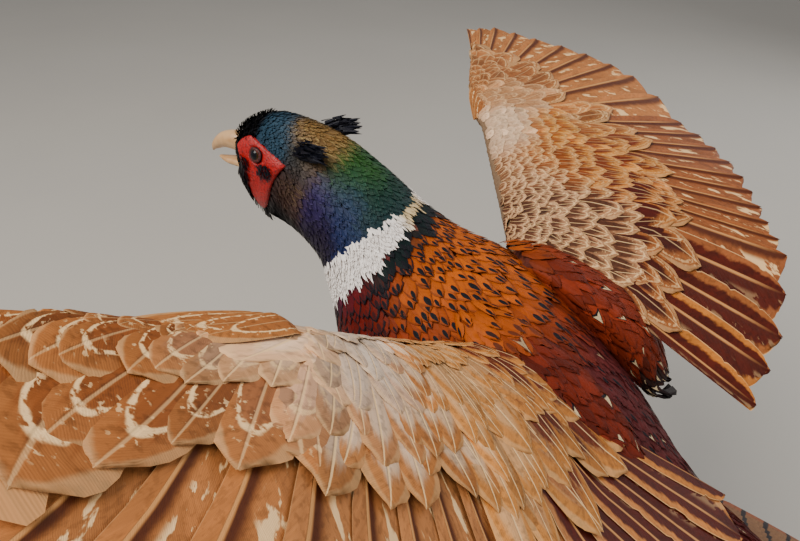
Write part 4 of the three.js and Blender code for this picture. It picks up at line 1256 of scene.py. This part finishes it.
TAN, FAWN, OCHRE = paint(194, 122, 70), paint(198, 128, 76), paint(206, 126, 56)
# the third colour is a darker tan for the far wing: painted shade
BARK, MAHOGANY, FAR_WING_SHADED_TAN = paint(88, 44, 20), paint(88, 32, 18), paint(158, 92, 54)
LEFT_STATIONS = [0, 1, 2, 3, 4, 5, 6, 7.4, 8.8], [10.2, 11.6, 13.0, 14.4, 15.8, 17.2, 18.6], range(20, 26)
RIGHT_STATIONS = range(0, 10), range(10, 20), range(20, 24)
# the far (right) wing's secondaries and tertials start from a darker tan than the near wing's, as painted
# shade on the far wing
for wing_name, stations, tan in (("left", LEFT_STATIONS, FAWN), ("right", RIGHT_STATIONS, FAR_WING_SHADED_TAN)):
    node = f"wing_{wing_name}_"
    flight_piece(f"primaries_{wing_name}", wing_name, stations[0], (TAN, TAN, BARK), (0.85, 0.0, 0.5),
                 [node + "primaries"], 51)
    flight_piece(f"secondaries_{wing_name}", wing_name, stations[1], (tan, tan, BARK), (0.85, 0.0, 0.7),
                 [node + "secondaries"], 52, tip=20.0)
    flight_piece(f"tertials_{wing_name}", wing_name, stations[2], (tan, OCHRE, MAHOGANY), (0.2, 0.6, 0.6),
                 [node + "tertials"], 53, outer=0.6, tip=12.0)

# %% [markdown]
# ## Coverts
# Coverts hide the roots of the flight feathers in rows that shrink towards the leading edge. Each row is
# draped on the aerofoil of the wing, above and below.

# %% Covert rows
def wing_side(wing, under=False):
    """The upper or lower face of a wing as a surface of (station, part of the feather length)."""
    def surface(at, part):
        return wing_face(wing, at, part, under)

    surface.sign = wing["side"] if under else -wing["side"]
    return surface


def covert_row(wing, chord, count, length, width, rise, seed, first=0.2, last=None, under=False, **shape):
    """One row of coverts with roots at a share of the covert reach, from the hand to the shoulder."""
    last = last or wing["last"] - 0.6
    rng = np.random.default_rng(seed)
    at = np.linspace(first, last, count) + rng.normal(0, 0.05, count)
    part = covert_reach(at) * np.clip(chord + rng.normal(0, 0.02, count), 0.01, 0.98)
    size = 1 + 0.08 * rng.normal(size=count)
    shape = dict(bend=0.06 * rng.normal(size=count), ragged=0.02, tip=9.0, arch=0.2) | shape
    coat = feathers(wing_side(wing, under), at, part, (0.0, 1.0), length * size, width * size, rise,
                    seed=seed, splay=0.10 * rng.normal(size=count), **shape)
    coat["row"] = (at - first) / (last - first)
    return coat


def covert_coat(name, wing_name, rows, table, material, slot="wing_coverts"):
    """Rows of coverts joined in one piece; each row gets its own band in the bake map. The table places
    base colour, middle colour and mark strengths by station and by the share of the covert reach."""
    wing = SPREAD[wing_name]
    coats = []
    widest = max(r[1] for r in rows)
    for k, (chord, count, length, width, rise, extra) in enumerate(rows):
        coat = covert_row(wing, chord, count, length, width, rise, 60 + k, grid=(9, 6), **extra)
        look = blend(table, coat["s"] / 3.0, np.full(count, chord / 0.25))
        bake = ((np.arange(count) + 0.5) / count, np.full(count, (k + 0.5) / len(rows)),
                0.9 / widest, 0.9 / len(rows))
        coats.append(dress(coat, look[:, :3], look[:, 6:], bake, look[:, 3:6]))
    return coat_piece(name, coats, material, slot)


def looks(*rows):
    """Rows of station, covert share, base colour, middle colour and three strengths, scaled for blend."""
    return [(at / 3.0, chord / 0.25, paint(*base), paint(*middle), marks)
            for at, chord, base, middle, marks in rows]


NEAR_LOOKS = looks(
    (1, .1, (172, 106, 58), (140, 78, 40), (1, .35, .9)),
    (5, .5, (170, 104, 58), (138, 76, 38), (1, .35, .9)),
    (8, .3, (176, 108, 60), (142, 80, 42), (1, .4, .9)),
    (9.6, .05, (214, 160, 114), (226, 190, 156), (.5, .8, .6)),
    (11.2, .02, (232, 206, 182), (236, 214, 194), (.2, .9, .6)),
    (12, .3, (204, 132, 76), (242, 206, 172), (.1, 1, .9)),
    (15, .3, (196, 122, 64), (238, 200, 162), (.1, 1, .9)),
    (12, .65, (196, 126, 72), (180, 118, 74), (.5, .6, .8)),
    (16, .7, (200, 130, 70), (180, 118, 70), (.3, .6, .9)),
    (18, .3, (206, 134, 68), (214, 160, 108), (.1, .9, .9)),
    (20, .6, (204, 132, 64), (150, 78, 36), (.1, .8, 1)),
    (23, .4, (200, 126, 60), (104, 44, 22), (.1, .9, 1)),
    (24.5, .7, (190, 118, 58), (94, 38, 20), (.1, .9, 1)))
FAR_LOOKS = looks(
    (1, .1, (186, 120, 72), (146, 88, 50), (.6, .3, .7)),
    (5, .5, (184, 118, 70), (144, 84, 48), (.6, .3, .7)),
    (8, .2, (206, 152, 108), (172, 116, 74), (.5, .3, .6)),
    (10.5, .1, (240, 204, 170), (206, 160, 124), (.3, .3, .4)),
    (12.5, .05, (236, 200, 168), (200, 156, 122), (.3, .4, .4)),
    (12, .35, (212, 140, 62), (164, 84, 30), (.3, .3, .9)),
    (15, .25, (196, 128, 70), (134, 66, 28), (.5, .5, .9)),
    (16.5, .08, (204, 156, 120), (130, 84, 56), (.8, .8, .9)),
    (20, .15, (184, 136, 102), (92, 58, 42), (.8, .8, 1)),
    (22, .4, (184, 130, 92), (88, 54, 38), (.8, .8, 1)),
    (10, .7, (190, 124, 70), (150, 84, 44), (.6, .4, .7)),
    (13, .7, (206, 132, 62), (116, 48, 24), (.3, .4, 1)),
    (17, .75, (196, 122, 62), (84, 28, 20), (.3, .5, 1)),
    (21, .8, (160, 94, 50), (70, 28, 20), (.5, .5, 1)),
    (14.5, .5, (204, 130, 58), (122, 56, 26), (.3, .4, 1)))
UNDER_LOOKS = looks(
    (5, .5, (206, 178, 144), (176, 142, 108), (.5, .4, .6)),
    (5, .02, (208, 156, 110), (178, 126, 82), (.4, .2, .4)),
    (20, .02, (206, 164, 124), (150, 104, 70), (.6, .3, .6)),
    (20, .5, (204, 176, 142), (164, 130, 98), (.5, .4, .6)))
ARM, HAND = dict(first=9.6), dict(first=0.3, last=9.4)
INNER = dict(first=17.6, bend=-0.05)
NEAR_ROWS = [  # chord share, count, length, width, rise, more
    (0.42, 9, 66, 18, 1.6, INNER), (0.26, 9, 60, 17, 2.0, INNER), (0.12, 9, 52, 16, 2.4, INNER),
    (0.34, 17, 44, 18, 1.8, ARM), (0.22, 19, 40, 16, 2.2, ARM), (0.12, 22, 34, 14, 2.2, ARM),
    (0.05, 25, 25, 12, 1.8, ARM), (0.015, 30, 16, 9, 1.2, ARM),
    (0.23, 9, 50, 17, 2.0, HAND), (0.07, 10, 36, 14, 2.2, HAND), (0.015, 16, 20, 9, 1.4, HAND)]
FAR_ROWS = [
    (0.78, 20, 56, 17, 1.8, ARM), (0.66, 25, 50, 15, 1.7, ARM), (0.54, 30, 44, 13, 1.7, ARM),
    (0.44, 34, 34, 12, 1.6, ARM), (0.35, 38, 27, 11, 1.6, ARM), (0.27, 42, 22, 10, 1.5, ARM),
    (0.20, 46, 18, 9.5, 1.4, ARM), (0.14, 50, 16, 9, 1.3, ARM), (0.08, 52, 14, 8, 1.2, ARM),
    (0.03, 54, 12, 7, 1.0, ARM),
    (0.50, 10, 58, 16, 1.5, HAND), (0.36, 12, 50, 14, 1.4, HAND), (0.24, 14, 42, 12, 1.3, HAND),
    (0.14, 17, 32, 10, 1.1, HAND), (0.07, 20, 22, 9, 1.0, HAND), (0.02, 24, 15, 8, 0.9, HAND)]
UNDER = dict(under=True)
UNDER_ROWS = [(0.006, 80, 10, 6.5, 0.6, UNDER), (0.04, 70, 12, 8, 0.7, UNDER),
              (0.10, 48, 17, 11, 0.8, UNDER), (0.28, 38, 24, 15, 1.0, UNDER),
              (0.52, 30, 34, 19, 1.2, UNDER), (0.72, 26, 40, 22, 1.4, UNDER)]
covert_coat("coverts_left", "left", NEAR_ROWS, NEAR_LOOKS, COVERT)
covert_coat("coverts_right", "right", FAR_ROWS, FAR_LOOKS, EDGED)
for wing_name in SPREAD:
    covert_coat(f"under_coverts_{wing_name}", wing_name, UNDER_ROWS, UNDER_LOOKS, COVERT)


# %% Alula
def alula(wing_name):
    """Three stiff thumb feathers in front of the hand, stacked like playing cards."""
    wing = SPREAD[wing_name]
    side, (_, sweep, rise) = wing["side"], wing["hand"]
    ahead, out = heading(side, sweep - 80, 0), heading(side, sweep, rise)
    up = unit(np.cross(out, ahead)) * side * -1
    up = up * np.sign(up[2])
    start = wing["wrist"] + ahead * 1 + up * 4.5
    made = []
    for k, (length, way) in enumerate(((66, 0.02), (56, 0.10), (44, 0.2))):
        u, v = unit_grid(24, 8)
        half = 7.5 * np.maximum(outline(u, 4.0, 0.6), 0.05)
        line = unit(out - ahead * way)
        points = (start + line * (4 + length * u[..., None]) - ahead * (v * half)[..., None]
                  + up * (0.8 * k - 3.5 * u ** 2 + 0.9 * (1 - v ** 2) - 5.5 * smooth(u, 0.3, 0))[..., None])
        feather = vanes(points, length * u, v * half, u, v, 0.2 + 0.3 * k)
        made.append(coloured(feather, paint(182, 114, 62), paint(146, 82, 44), (1.0, 0.3, 0.4),
                             strip_patches(feather, k, 3)))
    return coat_piece(f"alula_{wing_name}", made, COVERT, "wing_coverts", [f"wing_{wing_name}_alula"])


for wing_name in SPREAD:
    alula(wing_name)

# %% [markdown]
# ## Tail
# Eighteen feathers in two fans. The middle pair is the longest, and each pair outwards is shorter and lies
# a little lower. The bars are part of the material, because they follow each feather's own length.

# %% Tail feathers
TAIL_ROOT, TAIL_LENGTH = np.array([0.0, 110.0, -108.0]), 470.0
TAIL_DROP = np.radians(27)
TAIL_WAY = np.array([0.0, np.cos(TAIL_DROP), -np.sin(TAIL_DROP)])
TAIL_UP = np.array([0.0, np.sin(TAIL_DROP), np.cos(TAIL_DROP)])
TAIL_PAIRS = 9


def tail_feather(pair, side, rows=60, columns=8):
    """The middle pair has the whole length; pair k is 400 - 37 (k - 1) mm long and 1 + 2.4 k degrees out."""
    length = TAIL_LENGTH if pair == 0 else 400 - 37 * (pair - 1)
    angle = np.radians(side * (0.4 if pair == 0 else 1 + 2.4 * pair))
    way = np.cos(angle) * TAIL_WAY + np.sin(angle) * np.array([1.0, 0, 0])
    across = np.cos(angle) * np.array([1.0, 0, 0]) - np.sin(angle) * TAIL_WAY
    start = TAIL_ROOT + np.array([side * (1.5 if pair == 0 else 5 + 0.9 * pair), 0, 0])
    u, v = unit_grid(rows, columns)
    taper = np.sqrt(np.clip(1 - u ** 3.2, 0, 1)) * np.minimum(1, 0.55 + 1.6 * u) * (1 - 0.55 * u)
    half = (17 if pair == 0 else 15) * np.maximum(taper, 0.03)
    if pair == 0:
        height = 4 - 22 * u ** 2 + 6 * u
    else:
        height = -1.5 - 0.55 * pair - 14 * (u * length / TAIL_LENGTH) ** 2
    points = (start + way * (length * u)[..., None] + across * (v * half)[..., None]
              + TAIL_UP * (height - 2.5 * v ** 2 + 0 * v)[..., None])
    feather = vanes(points, length * u, v * half, u, v, (pair * 2 + side > 0) * 0.37)
    drab = paint(150, 118, 78) if pair == 0 else paint(134, 96, 66)
    return coloured(feather, drab, drab, (0.95, 0.8, 0.0),
                    strip_patches(feather, pair * 2 + (side > 0), 2 * TAIL_PAIRS))


coat_piece("tail", [tail_feather(p, side) for p in reversed(range(TAIL_PAIRS)) for side in (-1, 1)], TAIL,
           "tail_feathers", ["tail_centre", "tail_left", "tail_right"])

# %% [markdown]
# ## Face
# The eye is a glass ball in a ring of skin. Round it lies the wattle, a shield of bare red skin covered in
# small beads. The bill is two horn cones, of which the upper is hooked over the lower.

# %% Eyes
EYE_RADIUS = 5.0
EYE_FORWARD, EYE_OUT, EYE_UP = 133.5, 16.6, 71.5


def head_point(forward, left, up):
    """A point beside the head, turned with it."""
    return turned(np.asarray(forward, float), np.asarray(left, float), np.asarray(up, float))


def eyeball(name, side):
    """A sphere of rings round the gaze, with a ring of skin as its lid. Each point stores its angle from
    the gaze, where 1 is 56 degrees and more, and its place round the ring."""
    centre = head_point(EYE_FORWARD, side * EYE_OUT, EYE_UP)
    gaze = unit(head_point(EYE_FORWARD + 0.3, side * (EYE_OUT + 1), EYE_UP + 0.25) - centre)
    e1 = unit(np.cross(gaze, [0, 0, 1.0]))
    e2 = np.cross(gaze, e1) * -1
    ring = np.linspace(0, 2 * np.pi, 48, endpoint=False)
    i, j = np.meshgrid(np.linspace(0, np.pi, 33), ring, indexing="ij")
    bulge = 1 + 0.07 * np.exp(-(i / 0.55) ** 2)
    points = centre + EYE_RADIUS * 0.97 * ((np.cos(i) * bulge)[..., None] * gaze
                      + (np.sin(i) * np.cos(j))[..., None] * e1 + (np.sin(i) * np.sin(j))[..., None] * e2)
    quads = grid_quads(1, 32, 48, closed=True)[:, ::-1]
    share = np.clip(i / (0.5 * np.pi) / 0.62, 0, 1)
    piece(f"eye_ball_{name}", points, quads, EYE, "eye", [f"eye_{name}"],
          values={"gaze": share.ravel(), "round": j.ravel() / (2 * np.pi)})
    ring_u, ring_v = np.meshgrid(ring, np.linspace(0, 2 * np.pi, 10, endpoint=False), indexing="ij")
    lid = 3.75 + 1.25 * np.cos(ring_v) * (1 + 0.12 * np.sin(ring_u * 9) * np.sin(ring_v))
    squash = 1 - 0.14 * np.abs(np.sin(ring_u)) ** 2
    out = 3.0 + 0.8 * np.sin(ring_v) - 0.3 * np.cos(2 * ring_u)
    points = (centre + gaze * out[..., None] + e1 * (lid * np.cos(ring_u))[..., None]
              + e2 * (lid * squash * np.sin(ring_u))[..., None])
    i, j = np.meshgrid(np.arange(48), np.arange(10), indexing="ij")
    quads = np.stack([i * 10 + j, i * 10 + (j + 1) % 10, (i + 1) % 48 * 10 + (j + 1) % 10,
                      (i + 1) % 48 * 10 + j], -1).reshape(-1, 4)
    piece(f"eyelid_{name}", points, quads, LID, "wattle_skin")


both_sides(eyeball)


# %% Wattles
def on_side(forward, up, side):
    """Station and angle of the head point with this forward and up, by Newton's steps on the side."""
    s, a = np.full(forward.shape, 14.6), np.full(forward.shape, side * 1.3)
    want = np.stack([forward, up], -1)
    for _ in range(14):
        here = section(s, a)[..., [0, 2]]
        ds = (section(s + 1e-3, a)[..., [0, 2]] - here) * 1e3
        da = (section(s, a + 1e-3)[..., [0, 2]] - here) * 1e3
        det = ds[..., 0] * da[..., 1] - ds[..., 1] * da[..., 0]
        det = np.where(np.abs(det) < 1e-6, 1e-6, det)
        miss = want - here
        move = (miss[..., 0] * da[..., 1] - miss[..., 1] * da[..., 0]) / det
        s = np.clip(s + np.clip(move, -1, 1), 9, 17.9)
        a = a + np.clip((ds[..., 0] * miss[..., 1] - ds[..., 1] * miss[..., 0]) / det, -0.3, 0.3)
        a = side * np.clip(side * a, 0.15, 2.9)
    return s, a


def wattle(name, side):
    """A shield from its middle (p = 0) to its outline (p = 1), lifted 1.5 root(1 - p^6) over the head, with
    beads from two crossed sine waves, and open round the eye."""
    edge = quadratic(*WATTLE_OUTLINE)
    p = np.linspace(0, 1.0, 41)[:, None, None]
    plane = WATTLE_MIDDLE + (edge - WATTLE_MIDDLE)[None] * p
    s, a = on_side(plane[..., 0], plane[..., 1], side)
    normal = frame_of(body, s, a)[2]
    bead = np.sin(plane[..., 0] * 4.4 + np.sin(plane[..., 1] * 1.1)) * np.sin(plane[..., 1] * 4.1)
    p = p[..., 0]
    lift = 1.5 * np.sqrt(np.clip(1 - p ** 6, 0, 1)) - 0.8 * (p > 0.999)
    lift = lift + 0.28 * bead * np.clip(4 - 4 * p, 0, 1)
    eye = np.hypot(plane[..., 0] - EYE_FORWARD, plane[..., 1] - EYE_UP)
    lift = lift * smooth(eye, 3.6, 5.2) - 1.6 * smooth(eye, 4.4, 3.2)
    points = body(s, a) + normal * lift[..., None]
    quads = grid_quads(1, 40, len(edge), closed=True)
    piece(f"wattle_shield_{name}", points, quads if side < 0 else quads[:, ::-1], WATTLE, "wattle_skin",
          [f"wattle_{name}"])


both_sides(wattle)


# %% Fringe of the wattle
def fringe(name, side):
    """Short black feathers down the front edge of the wattle to its lowest point, and back from there."""
    rng = np.random.default_rng(77)
    count = 260
    along = np.linspace(0, 1, count)
    share = [0, 0.35, 0.7, 0.85, 1]
    forward = np.interp(along, share, [148.5, 146.5, 143, 138.5, 133]) + rng.normal(0, 0.9, count)
    height = np.interp(along, share, [60, 48, 35, 29.5, 31.5]) + rng.normal(0, 0.9, count)
    s, a = on_side(forward, height, side)
    coat = feathers(body, s, a, (-1.0, side * 0.5), 5.5, 1.5, 3.0, grid=(4, 2), tip=1.8, sink=0.3, seed=78,
                    splay=0.35 * rng.normal(size=count))
    bake = square_patches(count, 0.8)
    dress(coat, paint(30, 24, 26), (0.2, 0.0, 0.0), bake)
    coat_piece(f"fringe_{name}", coat, GLOSSY, "head_feathers")


both_sides(fringe)


# %% Closed limbs
def limb_mesh(path, radii, up, rows=20, columns=16):
    """A limb with a point at each end, as one closed grid."""
    t = np.linspace(0, 1, rows + 1)
    a = np.linspace(0, 2 * np.pi, columns, endpoint=False)
    points = limb(path, radii, np.repeat(t, columns), np.tile(a, rows + 1), up)
    return capped(points, through(path, np.array([0.0, len(path) - 1.0])), columns)


def bill(rows):
    """Path points on the head's middle plane from (forward, up) pairs."""
    rows = np.array(rows, float)
    return head_point(rows[:, 0], np.zeros(len(rows)), rows[:, 1])


UPPER_BILL = bill([[150, 67], [159, 68], [168, 66.5], [175, 61.5], [177.6, 57.6]])
LOWER_BILL = bill([[148, 54.5], [157, 54], [166, 53.6], [173, 54.4]])
UPPER_RADII = [[7.2, 7], [6.2, 6.2], [4.8, 4.9], [2.6, 2.8], [.6, .6]]
LOWER_RADII = [[6.4, 4], [5.4, 3.1], [3.9, 2.3], [1.1, .7]]
for half, path, radii, size in (("upper", UPPER_BILL, UPPER_RADII, (28, 24)),
                                ("lower", LOWER_BILL, LOWER_RADII, (24, 20))):
    piece(f"bill_horn_{half}", *limb_mesh(path, radii, (0, 0, 1), *size), HORN, "horn", [f"bill_{half}"])


# %% Ear tufts
def strands(path, spread, count, length, width, seed):
    """Narrow tapering strands: each starts at a random place near the path and follows its direction."""
    rng = np.random.default_rng(seed)
    share = rng.random(count) ** 1.3 * 0.7
    centre = through(path, share * (len(path) - 1))
    way = unit(through(path, share * (len(path) - 1) + 0.05) - centre)
    root = centre + rng.normal(0, spread, (count, 3))
    way = unit(way + rng.normal(0, 0.09, (count, 3)))
    side = unit(np.cross(way, rng.normal(0, 1, (count, 3))))
    up = np.cross(side, way)
    u, v = unit_grid(5, 2)
    size = length * (0.45 + 0.7 * rng.random(count))[:, None, None]
    half = 0.5 * width * np.clip(1 - u, 0.02, 1) ** 0.6
    points = (root[:, None, None] + way[:, None, None] * (size * u)[..., None]
              + side[:, None, None] * (v * half)[..., None]
              + up[:, None, None] * (0.3 * half * (1 - v ** 2))[..., None])
    return vanes(points, size * u, v * half, u, v, rng.random((count, 1, 1)))


def ear_plumes(side_name, side):
    """A tuft that leans back and out above the ear."""
    path = head_point([107, 100, 89], [side * 15.5, side * 19, side * 22], [79, 81, 82])
    tuft = strands(path, 1.9, 420, 9.0, 1.9, 71)
    dress(tuft, paint(16, 19, 34), (0.4, 0, 0), square_patches(420, 0.85))
    coat_piece(f"ear_plumes_{side_name}", tuft, GLOSSY, "ear_feathers", [f"ear_tuft_{side_name}"])


both_sides(ear_plumes)

# %% [markdown]
# ## Legs
# Each shank is a limb along a short path, with a spur on its inner side. Feet and claws keep the solids of
# the frame and only take a finish.

# %% Shanks, toes, claws and spurs
SHANK_LENGTH = 66


def leg(side_name, side):
    """A shank from the ankle backwards and down, with its spur two thirds along."""
    ankle = np.array(THIGH[0][-1]) * [side, 1, 1]
    way = unit(np.array([-side * 0.06, 0.78, -0.62]))
    heel = ankle + way * SHANK_LENGTH
    shank_path = np.stack([ankle, ankle + way * 22, ankle + way * 44, heel])
    shank = limb_mesh(shank_path, [[4.4, 5], [3.2, 3.8], [3, 3.6], [4.2, 4.2]], (0, 0, 1), 40, 20)
    piece(f"shank_scales_{side_name}", *shank, LEG, "leg_skin", [f"shank_{side_name}"])
    spur_root = ankle + (heel - ankle) * 0.66
    spur_way = unit(np.array([-side * 0.55, 0.45, 0.7]))
    spur = np.stack([spur_root, spur_root + spur_way * 8, spur_root + spur_way * 15 + [0, 1, 2.5]])
    piece(f"spur_horn_{side_name}", *limb_mesh(spur, [[3, 3], [2, 2], [.4, .4]], (0, 0, 1), 12, 12), CLAW,
          "claw_horn", [f"spur_{side_name}"])


both_sides(leg)
for name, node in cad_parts.items():
    horn = {"foot": LEG, "claw": CLAW}.get(name.split("_")[0])
    if horn:
        node.data.materials.clear()
        node.data.materials.append(horn)

# %% [markdown]
# ## Stand
# A turned disc of dark wood with a rounded edge and a steel rod that enters the belly. The disc is a profile
# carried round its axis.

# %% Turned base and rod
def lathe(profile, columns=96):
    """Points (radius, height) carried round the vertical axis, closed on the axis at both ends."""
    profile = np.array(profile, float)
    a = np.linspace(0, 2 * np.pi, columns, endpoint=False)
    ring = np.stack([profile[:, None, 0] * np.cos(a), profile[:, None, 0] * np.sin(a),
                     np.repeat(profile[:, 1:], columns, 1)], -1).reshape(-1, 3)
    ends = np.array([[0, 0, profile[0, 1]], [0, 0, profile[-1, 1]]])
    return capped(ring - BIRD, ends - BIRD, columns)


edge = np.linspace(0, np.pi / 2, 9)
base_profile = ([(124, 0), (124.6, 0.6), (125, 1.4), (125, 10)]
                + [(119 + 6 * np.cos(t), 10.5 + 5.5 * np.sin(t)) for t in edge]
                + [(116, 16.2), (115, 17), (113, 17.8), (110, 18), (60, 18), (14, 18)])
piece("stand_turned_base", *lathe(base_profile), WOOD, "stand_wood", ["stand_base"])
piece("stand_steel_rod", *lathe([(4.6, 18.2), (5, 18.6), (5, 279), (4.6, 279.6)], 32), STEEL, "stand_steel",
      ["stand_rod"])

# %% [markdown]
# ## Floor and light
# A pale floor and three large soft lamps: a key high up on the bird's left, a fill on its right and a lower
# one behind the tail.

# %% Studio
def lamp(name, at, target, size, power, colour=(1, 1, 1)):
    """A round soft lamp that faces its target."""
    data = bpy.data.lights.new(name, "AREA")
    data.shape, data.size, data.energy, data.color = "DISK", size, power, colour
    made = bpy.data.objects.new(name, data)
    made.location = at
    made.rotation_euler = (Vector(target) - Vector(at)).to_track_quat("-Z", "Y").to_euler()
    bpy.context.scene.collection.objects.link(made)


floor_finish, tree, shader = finish("pale floor", Roughness=0.9)
where = tree.nodes.new("ShaderNodeTexCoord")
cloud = noise(tree, Wire(tree, where.outputs["Object"]), 3.0, 3.0)
feed(tree, shader.inputs["Base Color"], mix(tree, paint(206, 200, 190), paint(198, 192, 183), cloud))
mesh = bpy.data.meshes.new("floor")
mesh.from_pydata([(-6, -6, 0), (6, -6, 0), (6, 6, 0), (-6, 6, 0)], [], [(0, 1, 2, 3)])
mesh.materials.append(floor_finish)
floor = bpy.data.objects.new("floor", mesh)
bpy.context.scene.collection.objects.link(floor)

lamp("key", (0.9, -0.7, 1.9), (0, 0, 0.4), 1.3, 48, (1.0, 0.95, 0.88))
lamp("fill", (-1.5, 0.9, 1.3), (0, 0, 0.4), 1.8, 18, (0.96, 0.98, 1.0))
lamp("behind", (0.2, 2.0, 1.0), (0, 0, 0.35), 1.4, 10)
world = bpy.data.worlds.new("studio")
world.use_nodes = True
world.node_tree.nodes["Background"].inputs["Color"].default_value = (0.75, 0.76, 0.78, 1)
world.node_tree.nodes["Background"].inputs["Strength"].default_value = 0.45
bpy.context.scene.world = world
